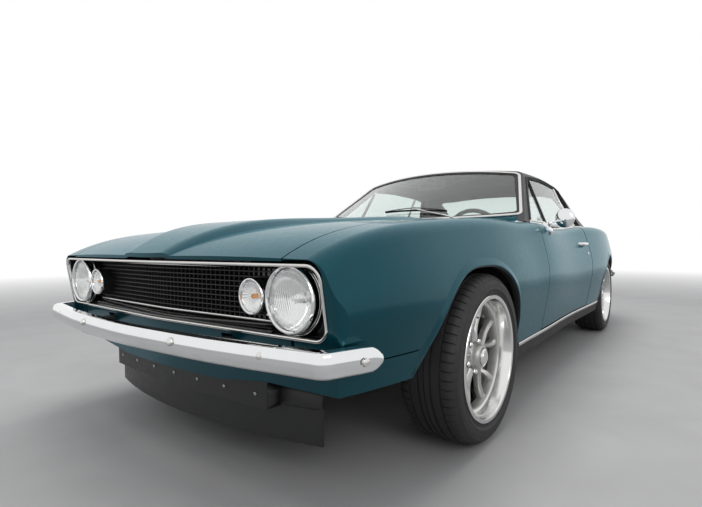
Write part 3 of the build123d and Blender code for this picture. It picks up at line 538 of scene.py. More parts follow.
# Wheels and tyres, about their own centre with the outer side towards +X
def tyre_shape():
    half = mm(236, 98, 238, 104, 243, 107.5, 248, 108, 248.5, 109.5, 251.5, 110, 252.5, 109, 262, 114.5, 264,
        116, 266, 115, 277, 116.5, 288, 115, 297, 111.5, 298.5, 112.5, 300.5, 110, 306, 105, 311.5, 99.5, 316.5,
        92, 319.5, 84, 321, 76)
    tread = mm(321.8, 64, 316, 62, 316, 56, 322.2, 54, 322.8, 28, 316.5, 26.2, 316.5, 20, 323.2, 18.2, 323.8, 3,
        319.5, 2.2)
    profile = half + tread + [(r, -x) for r, x in reversed(half + tread)]
    blocks = 64
    shape = Shape()
    rows = []
    for k in range(blocks):
        start = 2 * pi * k / blocks
        for f, low in ((0, 1), (0.07, 1), (0.12, 0), (0.46, 0), (0.5, 2), (0.54, 2), (0.58, 0), (0.95, 0)):
            row = []
            for r, x in profile:
                slant = 0.012 * (abs(x) - 0.05) / 0.05 if abs(x) < 0.1 else 0.012
                t = start + f * 2 * pi / blocks + slant
                a = abs(x)
                if low == 1 and (0.0625 < a < 0.1065 and r > 0.3):
                    r -= 0.0045 * min(1, (0.1065 - a) / 0.008)
                if low == 1 and 0.028 < a < 0.054:
                    r -= 0.003
                if low == 2 and 0.003 < a < 0.0181:
                    r -= 0.003
                row.append(Vector((x, r * math.cos(t), r * math.sin(t))))
            rows.append(row)
    return shape.grid(rows, closed_u=True)


def rim_shape():
    """Polished outer lip, deep barrel and step ring."""
    profile = mm(206, -108, 236, -112, 240.5, -109, 240.5, -100, 231, -97, 229.5, -80, 229.5, 80, 231, 97,
        239.5, 99, 241.2, 104, 241.2, 110.5, 239.5, 112.8, 229, 113, 226.2, 112, 224.8, 109, 223.5, 102, 220.5,
        92, 217, 78, 214.5, 66, 213.5, 60, 212, 59, 206.5, 58.5, 205, 57.5, 204.8, 50, 204, 30, 205, -20, 205.5,
        -90)
    return Shape().lathe(ORIGIN, X_AXIS, profile, 144, closed=True)


def polar(r, t, x):
    return Vector((x, r * math.cos(t), r * math.sin(t)))


def leg(angle, side):
    """One leg of a pair, with a raised ridge: it leaves the hub beside its twin and spreads towards the rim."""
    rows = []
    count = 15
    for i in range(count):
        f = i / (count - 1)
        r = 0.06 + f * 0.1465
        spread = side * (0.105 + 0.2 * math.sin(min(1, f * 1.25) * pi / 2) ** 1.5 - 0.03 * max(0, f - 0.8) /
            0.2)
        mid = angle + spread * (0.75 if f < 0.2 else 0.75 + 0.25 * min(1, (f - 0.2) / 0.3)) * 0.86
        half = 0.0145 - 0.0035 * math.sin(f * pi) + 0.004 * max(0, f - 0.8) / 0.2
        face = 0.053 - 0.006 * math.sin(f * pi) if f < 0.5 else 0.047 + 0.0095 * (f - 0.5) / 0.5
        back = 0.012 + 0.014 * f
        centre = polar(r, mid, 0)
        across = Vector((0, -math.sin(mid), math.cos(mid)))
        row = []
        for w, x in ((-1, back), (-1, face - 0.013), (-0.82, face - 0.006), (-0.3, face - 0.002), (0, face),
                     (0.3, face - 0.002), (0.82, face - 0.006), (1, face - 0.013), (1, back)):
            row.append(centre + across * (half * w) + Vector((x, 0, 0)))
        rows.append(row)
    s = Shape().grid(rows)
    m = len(rows[0])
    s.f += [(i * m, i * m + m - 1, (i + 1) * m + m - 1, (i + 1) * m) for i in range(count - 1)]
    s.f += [tuple(range(m)), tuple((count - 1) * m + j for j in range(m))]
    return s


def centre_shape():
    """Cast centre: a hub barrel, a lug disc with five pockets and five pairs of legs into an outer ring."""
    s = Shape()
    s.lathe(ORIGIN, X_AXIS, mm(0, -7, 78, -7, 84, 0, 83.5, 26, 79, 34, 56, 37.5, 50.5, 42, 47.5, 60, 44.5, 74.5,
        41, 77.5, 35.5, 78.5, 33.5, 77, 33.5, 60, 0, 60), 96)
    s.lathe(ORIGIN, X_AXIS, mm(205.8, 22, 205.8, 56.5, 203.5, 58.2, 199.5, 57, 197.5, 50, 197.5, 22), 144,
        closed=True)
    for k in range(5):
        angle = 2 * pi * k / 5
        for side in (-1, 1):
            s.join(leg(angle, side))
        # web between the two legs near the hub
        rows = []
        for i in range(7):
            r = 0.052 + 0.044 * i / 6
            row = []
            for j in range(9):
                t = angle + (j / 8 - 0.5) * 0.3 * (1 - 0.35 * i / 6)
                row.append(polar(r, t, 0.041 - 0.006 * (i / 6) ** 2 - 0.003 * abs(j - 4) / 4))
            rows.append(row)
        s.grid(rows)
        s.grid([[p - Vector((0.018, 0, 0)) for p in row] for row in rows])
    return s


def at_lugs(*parts):
    """Turned parts, each a profile and its steps, at the five lug places."""
    s = Shape()
    for k in range(5):
        at = polar(0.062, 2 * pi * (k + 0.5) / 5, 0)
        for profile, steps in parts:
            s.lathe(at, X_AXIS, profile, steps)
    return s


lug_nuts = at_lugs((mm(0, 52, 4, 51.5, 7.2, 49.5, 9.2, 47, 9.2, 30), 24),
                   (mm(0, 46, 9.8, 46, 11.2, 44.5, 11.2, 34), 6))
pockets = at_lugs((mm(0, 36.2, 14.5, 36.2, 15, 37.2, 16.5, 37.2, 17, 33), 32))
hub_cap = Shape().lathe(ORIGIN, X_AXIS, mm(0, 88.5, 12, 88.3, 22.5, 86.8, 23.2, 85.8, 25.2, 85.6, 26.2, 86.2,
    29.2, 85, 31.8, 82, 32.2, 76, 32.2, 58), 96)
valve = Shape().lathe(polar(0.2115, pi / 2 + 0.1, 0), (1, 0, -0.35),
    mm(0, 98, 2.8, 97.5, 3.2, 86, 4.5, 85, 4.5, 62, 0, 62), 20)
brake_disc = Shape().lathe(ORIGIN, X_AXIS, mm(0, -12, 85, -12, 88, -34, 142, -36, 142, -43.5, 139, -43.5, 139,
    -49.5, 142, -49.5, 142, -58, 80, -58, 0, -50), 96)
wheel_parts = (  # name, shape, material, smoothing angle, node that it replaces
    ("tyre", tyre_shape(), rubber, 40, "tyre"),
    ("rim", rim_shape(), polished, 30, "wheel"),
    ("wheel_centre", centre_shape(), alloy, 50, None),
    ("lug_nuts", lug_nuts, chrome, 30, None),
    ("lug_pockets", pockets, black_satin, 30, None),
    ("hub_cap", hub_cap, polished, 30, None),
    ("valve", valve, black_satin, 30, None),
    ("brake_disc", brake_disc, steel, 30, None),
)
wheel_meshes = [(name, mesh_of(shape, name, material, angle), material, node)
                for name, shape, material, angle, node in wheel_parts]
wheel_places = (  # corner, x, y, turn about Z
    ("front_left", 0.787, FRONT_AXLE, 0),
    ("front_right", -0.787, FRONT_AXLE, pi),
    ("rear_left", 0.77, REAR_AXLE, 0),
    ("rear_right", -0.77, REAR_AXLE, pi),
)
spin = Matrix.Rotation(0.33, 4, "X")
for corner, x, y, around in wheel_places:
    at = Matrix.Translation((x, y, WHEEL_HEIGHT)) @ Matrix.Rotation(around, 4, "Z") @ spin
    for name, mesh, material, node in wheel_meshes:
        place(mesh, f"{name}_piece_{corner}", f"road_wheel_{corner}", at,
              (f"{node}_{corner}",) if node else ())

# Grille: level blades over finer uprights, sloping shelves, bright mouldings
def mesh_y(x, out=0):
    return nose(x, 0.61) + 0.066 - out


grille_half = 0.562
xs = [grille_half * (2 * k / 40 - 1) for k in range(41)]
bars = Shape()
for k in range(9):
    z = 0.5515 + 0.0158 * k
    line = [Vector((x, mesh_y(x), z)) for x in xs]
    bars.sweep(line, mm(-12, -1.2, 11, -2, 12.5, -1.3, 12.8, 0, 12.5, 1.3, 11, 2, -12, 1.2))
for k in range(49):
    x = 0.548 * (2 * k / 48 - 1)
    y = mesh_y(x)
    bars.block((x - 0.0013, y - 0.007, 0.5375), (x + 0.0013, y + 0.011, 0.691), 0.0006, segments=1)
piece(bars, "grille_bars", black_satin, replaces=("grille",))

shelves = Shape()
shelves.grid([[Vector((x, nose(x, 0.703) + 0.006, 0.703)), Vector((x, nose(x, 0.699) + 0.03, 0.7005)),
               Vector((x, mesh_y(x, 0.006), 0.6935))] for x in xs])
shelves.grid([[Vector((x, nose(x, 0.5115) + 0.006, 0.5115)), Vector((x, nose(x, 0.516) + 0.03, 0.5165)),
               Vector((x, mesh_y(x, 0.006), 0.534))] for x in xs])
piece(shelves, "grille_shelves", black_gloss, thick=0.0015)

inner = Shape()
for z in (0.6918, 0.5362):
    line = [Vector((x, mesh_y(x, 0.01), z)) for x in xs]
    inner.sweep(line, bar_section(0.011, 0.0075, 0.0025, -0.00375))
piece(inner, "grille_inner_mouldings", bright)

hw, zl, zh, cr = 0.7772, 0.5055, 0.7018, 0.0425
frame_line = denser(rounded([(-hw, 0, zl), (hw, 0, zl), (hw, 0, zh), (-hw, 0, zh)], cr, 0.08, True), 0.03, True)
frame_line = [Vector((p.x, nose(p.x, p.z), p.z)) for p in frame_line]
moulding = mm(-4.6, -10, -4.6, 0.5, -3.8, 2.6, -1.8, 3.8, 1.8, 3.8, 3.8, 2.6, 4.6, 0.5, 4.6, -10)
piece(Shape().sweep(frame_line, moulding, (0, -1, 0), True), "grille_surround", bright,
    replaces=("grille_trim",))

# Headlamps
lamp_z = 0.61


def lens_disc(radius, dome, flute, pitch, steps=56):
    """Domed glass disc with stepped flutes on its inside, the outside towards +Z."""
    front, rear = [], []
    for i in range(steps + 1):
        r = radius * i / steps
        row_f, row_r = [], []
        for k in range(97):
            t = 2 * pi * k / 96
            x, y = r * math.cos(t), r * math.sin(t)
            z = dome * (1 - (r / radius) ** 2)
            row = math.floor(y / 0.014)
            phase = 0.35 * (row % 3)
            d = flute * abs(math.sin(pi * (x / pitch + phase))) * (1 if abs(x) < radius * 0.82 else 0.4)
            row_f.append(Vector((x, y, z)))
            row_r.append(Vector((x, y, z - 0.0035 - (d if r < radius * 0.93 else 0))))
        front.append(row_f)
        rear.append(row_r)
    s = Shape().grid(front)
    s.grid(rear)
    s.grid([front[-1], rear[-1]])
    return s


def facing_front(x, y, z):
    """Frame whose +Z looks forward out of the nose."""
    return Matrix.Translation((x, y, z)) @ turn(90)


ring = turned(mm(93.5, -30, 94.5, -12, 94.2, -2, 92.5, 5.5, 89.5, 9, 86.2, 8.8, 83.8, 6.6, 83.2, 3, 83.2, -6,
    85, -6, 85, -30), 120, closed=True)
bowl = turned(mm(0, -42, 20, -41, 45, -34, 66, -22, 80, -6, 83.5, 0), 96)
for k in range(3):
    t = pi / 2 + 2 * pi * k / 3
    bowl.lathe((0.0905 * math.cos(t), 0.0905 * math.sin(t), 0), (0, 0, 1),
               mm(0, 10.8, 2.8, 10.6, 3.4, 8.5, 3.4, 4), 16)
collar = turned(mm(95.2, -52, 95.2, -19.5, 96.2, -17.2, 97.6, -16.5, 99, -17.2, 99.8, -19.5, 99.8, -52), 120,
    closed=True)
backing = turned(mm(99, -50, 99, -47, 86, -44, 20, -47, 0, -47), 72)
glow = turned(mm(0, -21.5, 8, -22, 12.5, -24.5, 13, -41), 32)
at = facing_front(0.655, -2.204, lamp_z)
pair(ring.moved(at), "headlamp_ring", chrome, replaces=(("headlamps",), ()), angle=30)
pair(bowl.moved(at), "headlamp_reflector", reflector, angle=30)
pair(collar.moved(at), "headlamp_bezel", bright, angle=30)
pair(backing.moved(at), "headlamp_backing", black_satin)
pair(glow.moved(at), "headlamp_shield", reflector)
pair(lens_disc(0.0834, 0.0125, 0.0011, 0.0085).moved(at), "headlamp_lens", lens, angle=60)

# Parking lamps, standing on short ribbed barrels
at = facing_front(0.5, -2.192, lamp_z)
rows = []
for k in range(192):
    t = 2 * pi * k / 192
    r = 0.0515 if k % 4 < 2 else 0.049
    rows.append([Vector((rr * math.cos(t), rr * math.sin(t), z)) for rr, z in
                 ((0.047, -0.034), (r, -0.034), (r, 0.008), (0.0485, 0.011))])
barrel = Shape().grid(rows, closed_u=True)
pair(barrel.moved(at), "parking_lamp_barrel", black_satin, replaces=(("parking_lamps",), ()), angle=25)
rim_ring = turned(mm(49.5, 8, 53, 9, 53.8, 13, 53.2, 17.5, 51.2, 20.2, 48.6, 20.3, 46.6, 18.8, 46, 15, 46, 8),
    96, closed=True)
pair(rim_ring.moved(at), "parking_lamp_rim", chrome, angle=30)
rows = []
for k in range(128):
    t = 2 * pi * k / 128
    w = 0.0009 * (k % 4 < 2)
    rows.append([Vector((r * math.cos(t), r * math.sin(t), z - w * (r > 0.012))) for r,
        z in ((0, -0.002), (0.011, -0.002), (0.0125, -0.0035), (0.028, -0.0015), (0.04, 0.004),
        (0.0462, 0.011))])
dish = Shape().grid(rows, closed_u=True)
pair(dish.moved(at), "parking_lamp_reflector", reflector, angle=25)
bulb = turned(mm(0, 12.5, 4, 11.8, 6.8, 8.8, 7.2, 4, 5.5, -2), 32)
pair(bulb.moved(at), "parking_lamp_bulb", amber)
cover = turned(mm(0, 20.5, 18, 19.8, 34, 17.8, 46.3, 14.5, 46.3, 12.5, 34, 15.8, 18, 17.8, 0, 18.5), 72)
pair(cover.moved(at), "parking_lamp_lens", lens, angle=60)


# Bumpers: pressed chrome blades swept round their plan curve
def blade_piece(name, centre_y, middle, shoulder, tip, lip, facing, node):
    """Blade through (x, y) points from its middle to its tip, rounded off at both ends."""
    half = [Vector((x, y, BUMPER_HEIGHT)) for x, y in (tip, shoulder, middle)]
    other = [Vector((-p.x, p.y, p.z)) for p in reversed(half)]
    line = denser(rounded(half + [Vector((0, centre_y, BUMPER_HEIGHT))] + other,
        [0, 0.06, 2.5, 2.5, 2.5, 0.06, 0], 0.05), 0.03)
    first, second = line[:2]
    run = (second - first).length
    start = [first.lerp(second, g / run) for g in (0, 0.002, 0.006, 0.012, 0.02, 0.03) if g < run]
    line = start + line[1:-1] + [Vector((-p.x, p.y, p.z)) for p in reversed(start)]
    n = len(line)
    run = [0]
    for i in range(1, n):
        run.append(run[-1] + (line[i] - line[i - 1]).length)

    def scale_at(f):
        d = run[round(f * (n - 1))]
        d = min(d, run[-1] - d)
        s = 1 if d > 0.034 else max(0.42, math.sqrt(max(0, 1 - ((0.034 - d) / 0.036) ** 2)))
        return (0.72 + 0.28 * s, s)

    face = rounded([(lip, 0.034, 0), (0.009, 0.034, 0), (0, 0.003, 0), (0.011, -0.034, 0), (0.026, -0.034, 0)],
                   [0, 0.014, 0.045, 0.014, 0], 0.09)
    back = rounded([(0.026, -0.03, 0), (0.0135, -0.03, 0), (0.004, 0.003, 0), (0.0125, 0.03, 0),
        (lip, 0.03, 0)], [0, 0.011, 0.04, 0.011, 0], 0.2)
    section = [(-facing * p.x, p.y) for p in face + back]
    piece(Shape().sweep(line, section, scale=scale_at), name, chrome, replaces=(node,), angle=50)


blade_piece("front_bumper_blade", -2.356, (0.45, -2.33), (0.832, -2.27), (0.893, -2.112), 0.04, -1,
    "front_bumper")
blade_piece("rear_bumper_blade", 2.351, (0.45, 2.342), (0.8, 2.3), (0.84, 2.18), 0.028, 1, "rear_bumper")

# Bumper bolts, brackets and air dam fixings
front_bolts, rear_bolts, arms, screws = Shape(), Shape(), Shape(), Shape()
front_head = mm(0, 6.2, 6, 5.8, 10.5, 4, 12.5, 1.2, 12.8, -4)
side_head = mm(0, 5.2, 6, 4.8, 9.8, 3, 11.2, -3)
rear_head = mm(0, 8.5, 6, 8, 11.5, 5, 12.5, 0)
for bolts, at, axis, head in (
        (front_bolts, (0.3, -2.3375, 0.4795), (0.05, -0.93, 0.36), front_head),
        (front_bolts, (0.64, -2.2925, 0.4795), (0.05, -0.93, 0.36), front_head),
        (front_bolts, (0.8775, -2.165, 0.468), (0.96, -0.28, 0.05), side_head),
        (rear_bolts, (0.26, 2.3392, 0.47), (0.03, 1, 0.1), rear_head),
        (rear_bolts, (0.62, 2.3192, 0.47), (0.03, 1, 0.1), rear_head)):
    bolts.lathe(at, axis, head, 32)
piece(both(front_bolts), "front_bumper_bolts", bright)
piece(both(rear_bolts), "rear_bumper_bolts", bright)
for x in (-0.38, 0.38):
    for half, y0, y1, z0, z1, bevel in ((0.02, -2.312, -2.162, 0.455, 0.479, 0.004),
                                        (0.028, -2.318, -2.31, 0.447, 0.487, 0.003),
                                        (0.02, 2.177, 2.31, 0.455, 0.479, 0.004),
                                        (0.028, 2.306, 2.314, 0.447, 0.487, 0.003)):
        arms.block((x - half, y0, z0), (x + half, y1, z1), bevel)
piece(arms, "bumper_arms", underbody)
for k in range(7):
    x = 0.43 * (k - 3) / 3
    y = -2.1625 + 0.0225 * (x / 0.48) ** 2
    screws.lathe((x, y, 0.3), (0, -1, 0), mm(0, 3.5, 4, 3.3, 6.2, 1.8, 6.8, 0), 16)
piece(screws, "air_dam_screws", steel)
wing_rows = [[Vector((0.4785, -2.1385, z)) for z in (0.262, 0.268, 0.3, 0.336)]]
for k in range(15):
    x = 0.474 + 0.15 * k / 14
    y = -2.1345 + 0.08 * (x / 0.625) ** 2
    fold = min(1, k / 3, (14 - k) / 2)
    wing_rows.append([Vector((x, y + 0.003, 0.255)), Vector((x, y + 0.001 - 0.002 * fold, 0.268)),
                      Vector((x, y + 0.004, 0.3)), Vector((x, y + 0.01, 0.334 - 0.02 * (k / 14) ** 2))])
pair(Shape().grid(wing_rows), "air_dam_wing", black_satin, angle=60, thick=0.004)


# Windshield mouldings on the cylinder of the glass
lean = math.radians(31.2)
up_glass = Vector((0, math.cos(lean), math.sin(lean)))
out_glass = Vector((0, -math.sin(lean), math.cos(lean)))
glass_base = Vector((0, -0.86, 0.905))
glass_r = 2.09


def on_windshield(u, v, lift=0):
    """Point on the glass, u across and v up from its lower edge, and the normal there."""
    d = glass_r - math.sqrt(glass_r ** 2 - u ** 2)
    normal = (out_glass * math.sqrt(glass_r ** 2 - u ** 2) + Vector((u, 0, 0))).normalized()
    return glass_base + up_glass * v - out_glass * d + Vector((u, 0, 0)) + normal * lift, normal


def arc_through(a, b, c, steps=28):
    """Points of the circle through three points, from a by b to c."""
    ax, ay, bx, by, cx, cy = *a, *b, *c
    d = 2 * (ax * (by - cy) + bx * (cy - ay) + cx * (ay - by))
    ux = ((ax * ax + ay * ay) * (by - cy) + (bx * bx + by * by) * (cy - ay) + (cx * cx + cy * cy) *
        (ay - by)) / d
    uy = ((ax * ax + ay * ay) * (cx - bx) + (bx * bx + by * by) * (ax - cx) + (cx * cx + cy * cy) *
        (bx - ax)) / d
    r = math.hypot(ax - ux, ay - uy)
    t0, t1 = math.atan2(ay - uy, ax - ux), math.atan2(cy - uy, cx - ux)
    tm = math.atan2(by - uy, bx - ux)
    while tm < t0:
        tm += 2 * pi
    while t1 < t0:
        t1 += 2 * pi
    if tm > t1:
        t1 -= 2 * pi
    return [(ux + r * math.cos(t0 + (t1 - t0) * k / steps), uy + r * math.sin(t0 + (t1 - t0) * k / steps))
            for k in range(steps + 1)]


def glass_outline(margin):
    """Closed outline of the windshield opening, narrower all round by margin."""
    low = arc_through((margin - 0.728, 0.268 + margin), (0, margin), (0.728 - margin, 0.268 + margin))
    high = arc_through((0.588 - margin, 0.752 - margin), (0, 0.688 - margin), (margin - 0.588, 0.752 - margin))
    pts = [Vector((x, y, 0)) for x, y in low + high]
    corners = [0, len(low) - 1, len(low), len(pts) - 1]
    keep = [k for k, p in enumerate(pts) if k in corners or min((p - pts[c]).length for c in corners) > 0.05]
    radii = [0.042 if k in corners else 0 for k in keep]
    return denser(rounded([pts[k] for k in keep], radii, 0.12, True), 0.03, True)


def windshield_strip(name, margin, section, lift, material):
    path, ups = zip(*(on_windshield(p.x, p.y, lift) for p in glass_outline(margin)))
    piece(Shape().sweep(path, section, closed=True, ups=ups), name, material, angle=30)


windshield_strip("windshield_moulding", 0, mm(-8.5, -4, -8.5, 2, -6, 4.2, 2, 5, 7.8, 3, 8.8, 0, 8.8, -4),
    0.0015, bright)
windshield_strip("windshield_seal", 0.0165, mm(-9, -2, -9, 1.2, 9, 1.2, 9, -2),
                 -0.0028, seal)

# Painted corners between the windshield's lower edge and the cowl
corner_rows = []
for k in range(25):
    u = 0.44 + 0.308 * k / 24
    v = 0.268 * (u / 0.728) ** 2
    edge, normal = on_windshield(u, v - 0.001, -0.003)
    low, _ = on_top(u + 0.01, edge.y - 0.05, -0.002)
    corner_rows.append([edge + up_glass * 0.004 - normal * 0.004, edge, edge.lerp(low, 0.4) +
        Vector((0, 0, -0.002)), low])
pair(Shape().grid(corner_rows), "cowl_corner", paint, angle=60, thick=0.003)

# Rear window mouldings, laid on the roof round its opening
back_lean = math.radians(24)
roof_tree = surface("roof")
back_tree = surface("roof rear_window deck_panel")


def on_backlight(u, v, lift=0):
    """Point under the plane of the rear window opening."""
    down = Vector((0, math.cos(back_lean), -math.sin(back_lean)))
    out = Vector((0, math.sin(back_lean), math.cos(back_lean)))
    at = Vector((u, 0.82, 1.226)) + down * v
    return hit(back_tree, at + out * 0.2, -out, at, lift)


back_line = denser(rounded([(-0.525, -0.005, 0), (0.525, -0.005, 0), (0.593, 0.565, 0), (-0.593, 0.565, 0)],
    0.07, 0.12, True), 0.03, True)
path = [on_backlight(p.x, p.y, 0.0005) for p in back_line]
ups = [n for _, n in path]
ups = [(ups[i - 1] + ups[i] + ups[(i + 1) % len(ups)]).normalized() for i in range(len(ups))]
piece(Shape().sweep([p for p, _ in path], mm(-7, -3, -7, 2, -4, 4, 4, 4, 7, 2, 7, -3), closed=True, ups=ups),
      "rear_window_moulding", bright, angle=30)

# Side windows: drip rail, black weather strip, vent window and belt mouldings
side_outline = rounded([(0, -0.538, 0.87), (0, -0.128, 1.198), (0, 0.15, 1.212), (0, 0.52, 1.202),
    (0, 0.64, 1.184), (0, 0.822, 0.87)], [0, 0.02, 1.5, 0.5, 0.03, 0], 0.15)
side_outline = denser(side_outline, 0.03)
centre = Vector((0, 0.12, 1))
side_outline = [p for p in side_outline if p.z >= 0.893]


def round_opening(grow, lift):
    """The side opening's line on the roof's surface, grown all round."""
    return zip(*(on_side(q.y, q.z, lift, roof_tree)
                 for q in (p + (p - centre).normalized() * grow for p in side_outline)))


rail, rail_ups = round_opening(0.009, 0.0015)
drip = mm(-4, -2, -4, 3, -1.5, 6, 3, 7, 4.5, 5, 3.5, -2)
pair(Shape().sweep(smooth_line(rail, 1), drip, ups=rail_ups), "drip_rail", black_satin, angle=30)
strip_line, _ = round_opening(0.0005, -0.006)
pair(Shape().sweep(strip_line, bar_section(0.012, 0.016, 0.002, -0.008), ups=rail_ups), "window_weather_strip",
    seal)

glass_tree = surface("door_glass_left quarter_glass")


def on_glass(y, z, lift=0):
    return on_side(y, z, lift, glass_tree, 1.2, 0.72)


def glass_bar(points, section, gap=0.04):
    line = denser([Vector((0, y, z)) for y, z in points], gap)
    hits = [on_glass(p.y, p.z) for p in line]
    n0 = sum((n for _, n in hits), Vector()).normalized()
    return Shape().sweep([p for p, _ in hits], section, ups=[n0] * len(hits))


door_bodies = ("door_left", "door_right")
vent = glass_bar(((-0.187, BELT_HEIGHT), (-0.12, 1.15), (-0.112, 1.182)),
    bar_section(0.016, 0.02, 0.003, -0.01))
pair(vent, "vent_divider", black_satin, door_bodies)
frame_bar = bar_section(0.01, 0.012, 0.002, -0.006)
vent_frame = glass_bar(((-0.5, 0.893), (-0.16, 1.16)), frame_bar)
vent_frame.join(glass_bar(((-0.498, 0.899), (-0.196, 0.899)), frame_bar))
pair(vent_frame, "vent_frame", bright, door_bodies)
latch = Shape()
at, normal = on_glass(-0.225, 0.925, -0.01)
latch.block((at.x - 0.016, at.y - 0.011, at.z - 0.014), (at.x + 0.002, at.y + 0.011, at.z + 0.014), 0.003)
latch.block((at.x - 0.022, at.y - 0.006, at.z - 0.004), (at.x - 0.012, at.y + 0.045, at.z + 0.006), 0.003)
pair(latch, "vent_latch", bright, door_bodies)
rear_edge = glass_bar(((0.5045, 0.899), (0.5045, 1.192)), bar_section(0.007, 0.013, 0.0015, -0.0065))
pair(rear_edge, "door_glass_edge", bright, door_bodies)
quarter_edge = glass_bar(((0.5215, 0.905), (0.5215, 1.19)), bar_section(0.008, 0.014, 0.0015, -0.007))
pair(quarter_edge, "quarter_glass_edge", bright)

door_tree = surface("door_left")
quarter_tree = surface("quarter_panels")


def belt(tree, y_from, y_to, name, bodies, steps=40):
    """Bright moulding and wiping seal along the lower edge of the side glass."""
    pts = []
    for k in range(steps + 1):
        y = y_from + (y_to - y_from) * k / steps
        x = on_glass(min(max(y, -0.51), 0.79), BELT_HEIGHT)[0].x + 0.012
        pts.append(on_top(x, y, 0, tree)[0])
    pts = smooth_line(pts, 3)
    section = mm(-8, -2, -8, 6, -5, 9.5, 4, 7.5, 9, 3, 9, -2)
    pair(Shape().sweep(pts, section), name, bright, bodies, angle=30)
    wipe = [p + Vector((-0.012, 0, 0.002)) for p in pts]
    pair(Shape().sweep(wipe, bar_section(0.007, 0.01, 0.002, -0.004)), name + "_seal", seal, bodies)


belt(door_tree, -0.52, 0.527, "door_belt_moulding", door_bodies)
belt(quarter_tree, 0.54, 0.8, "quarter_belt_moulding", ("body", "body"), 12)

# Bright trim where the vinyl ends on the quarter panel and deck
foot = []
for k in range(31):
    y = 0.815 + (1.4 - 0.815) * k / 30
    at = roof_tree.ray_cast(Vector((1.2, y, 0.918 + 0.006 * k / 30)), Vector((-1, 0, 0)))[0]
    if at:
        foot.append(on_top(at.x + 0.006, y, 0.001, quarter_tree)[0])
foot_section = mm(-6, -2, -6, 4, -2, 7, 3, 6, 6, 2, 6, -2)
pair(Shape().sweep(smooth_line(foot, 3), foot_section), "roof_foot_moulding", bright, angle=30)

# Vinyl seams along the roof
seam = [on_top(0.36 + 0.04 * k / 60, -0.2 + 0.98 * k / 60, 0.0006, roof_tree)[0] for k in range(61)]
seam_section = mm(-6, -1, -5, 0.8, -1, 1.2, 0, 0.4, 1, 1.2, 5, 0.8, 6, -1)
pair(Shape().sweep(smooth_line(seam, 2), seam_section), "roof_seam", vinyl)


# Wheel arches: rolled painted lips with a black inner edge
widest_x = 0.922


def arch_lip(name, outline, grow, tree):
    """Painted lip and black edge that follow the opening, a little outside it."""
    mid = sum(outline, Vector()) / len(outline)
    spans = (0.034, 0.022, 0.011, grow)
    lines, aways = [[] for _ in spans], []
    for i, p in enumerate(outline):
        a, b = outline[max(0, i - 1)], outline[min(len(outline) - 1, i + 1)]
        along = (b - a).normalized()
        away = Vector((0, along.z, -along.y))
        if away.dot(p - mid) < 0:
            away = -away
        hits = [tree.ray_cast(Vector((1.4, 0, 0)) + p + away * g, Vector((-1, 0, 0)))[0] for g in spans]
        if None in hits:
            continue
        for line, at in zip(lines, hits):
            line.append(Vector((at.x, p.y, p.z)))
        aways.append(away)
    lines = [smooth_line(line, 2) for line in lines]
    n = len(aways)
    # Each row: which line it starts from, away from the opening, out at the middle, out everywhere
    lip_table = ((0, 0.034, 0, -0.0006), (1, 0.022, 0.0018, 0), (2, 0.011, 0.0045, 0), (3, 0.0045, 0.0062, 0),
                 (3, 0.0012, 0.0045, 0), (3, 0.0004, 0, 0.0008), (3, 0.0006, 0, -0.01))
    edge_table = ((0.0004, 0.0012), (-0.0022, 0.0006), (-0.003, -0.003), (-0.003, -0.022), (0.002, -0.026))
    lip_rows, edge_rows = [], []
    out = Vector(X_AXIS)
    for i, w in enumerate(aways):
        fade = min(1, min(i, n - 1 - i) / 6)
        row = [lines[k][i] + w * away + out * (rise * fade + base) for k, away, rise, base in lip_table]
        lip_rows.append([Vector((min(q.x, widest_x), q.y, q.z)) for q in row])
        edge_rows.append([lines[3][i] + w * away + out * base for away, base in edge_table])
    pair(Shape().grid(lip_rows), name + "_lip", paint, angle=50)
    pair(Shape().grid(edge_rows), name + "_edge", black_satin, angle=50, thick=0.0012)


front_outline = rounded([(0, -1.067, 0.318), (0, -1.067, 0.677), (0, -1.662, 0.677), (0, -1.912, 0.372)],
                        [0, 0.352, 0.341, 0], 0.06)
front_outline = denser(front_outline, 0.025)
arch_lip("front_arch", front_outline, 0.006, surface("fenders front_valance"))
rear_outline = [Vector((0, REAR_AXLE + 0.352 * math.cos(t), WHEEL_HEIGHT + 0.352 * math.sin(t)))
                for t in (math.radians(-1 + 168.5 * k / 70 + 12) for k in range(71))]
arch_lip("rear_arch", rear_outline, 0.006, surface("quarter_panels"))


# Sill mouldings
sill_tree = surface("sills")
sill_line, sill_ups = zip(*(on_side(-1.015 + 1.96 * k / 60, 0.2985, 0, sill_tree) for k in range(61)))
sill_section = mm(-9, -2, -9, 2, -6, 4.2, 6, 4.2, 9, 2, 9, -2)
pair(Shape().sweep(smooth_line(sill_line, 3), sill_section, ups=sill_ups), "sill_moulding", bright, angle=30)

# Door handles, locks and the mirror
handle = Shape()
hy, hz = 0.36, 0.768
base_a, _ = on_side(hy - 0.066, hz)
base_b, _ = on_side(hy + 0.066, hz)
for q in (base_a, base_b):
    s = Shape().lathe((0, 0, 0), X_AXIS, mm(0, 10, 10, 9.5, 14.5, 6, 16, 0, 16, -4), 40)
    handle.join(s.moved(Matrix.Translation(q) @ Matrix.Diagonal((1, 1.25, 0.72, 1))))
grip = [base_a + Vector((0.006, -0.004, 0)), base_a + Vector((0.026, 0.012, 0.001)), base_b +
    Vector((0.027, -0.03, 0.001)), base_b + Vector((0.024, 0.004, 0)), base_b + Vector((0.006, 0.004, 0))]
handle.sweep(rounded(grip, 0.012, 0.2), ring_section(0.0105, 0.0048, 16), X_AXIS)
handle.lathe(base_b + Vector((0, 0.03, 0)), X_AXIS, mm(0, 6.5, 7.5, 6, 9.5, 3, 10, -3), 40)
pair(handle, "door_handle", chrome, door_bodies, angle=30)
lock = Shape()
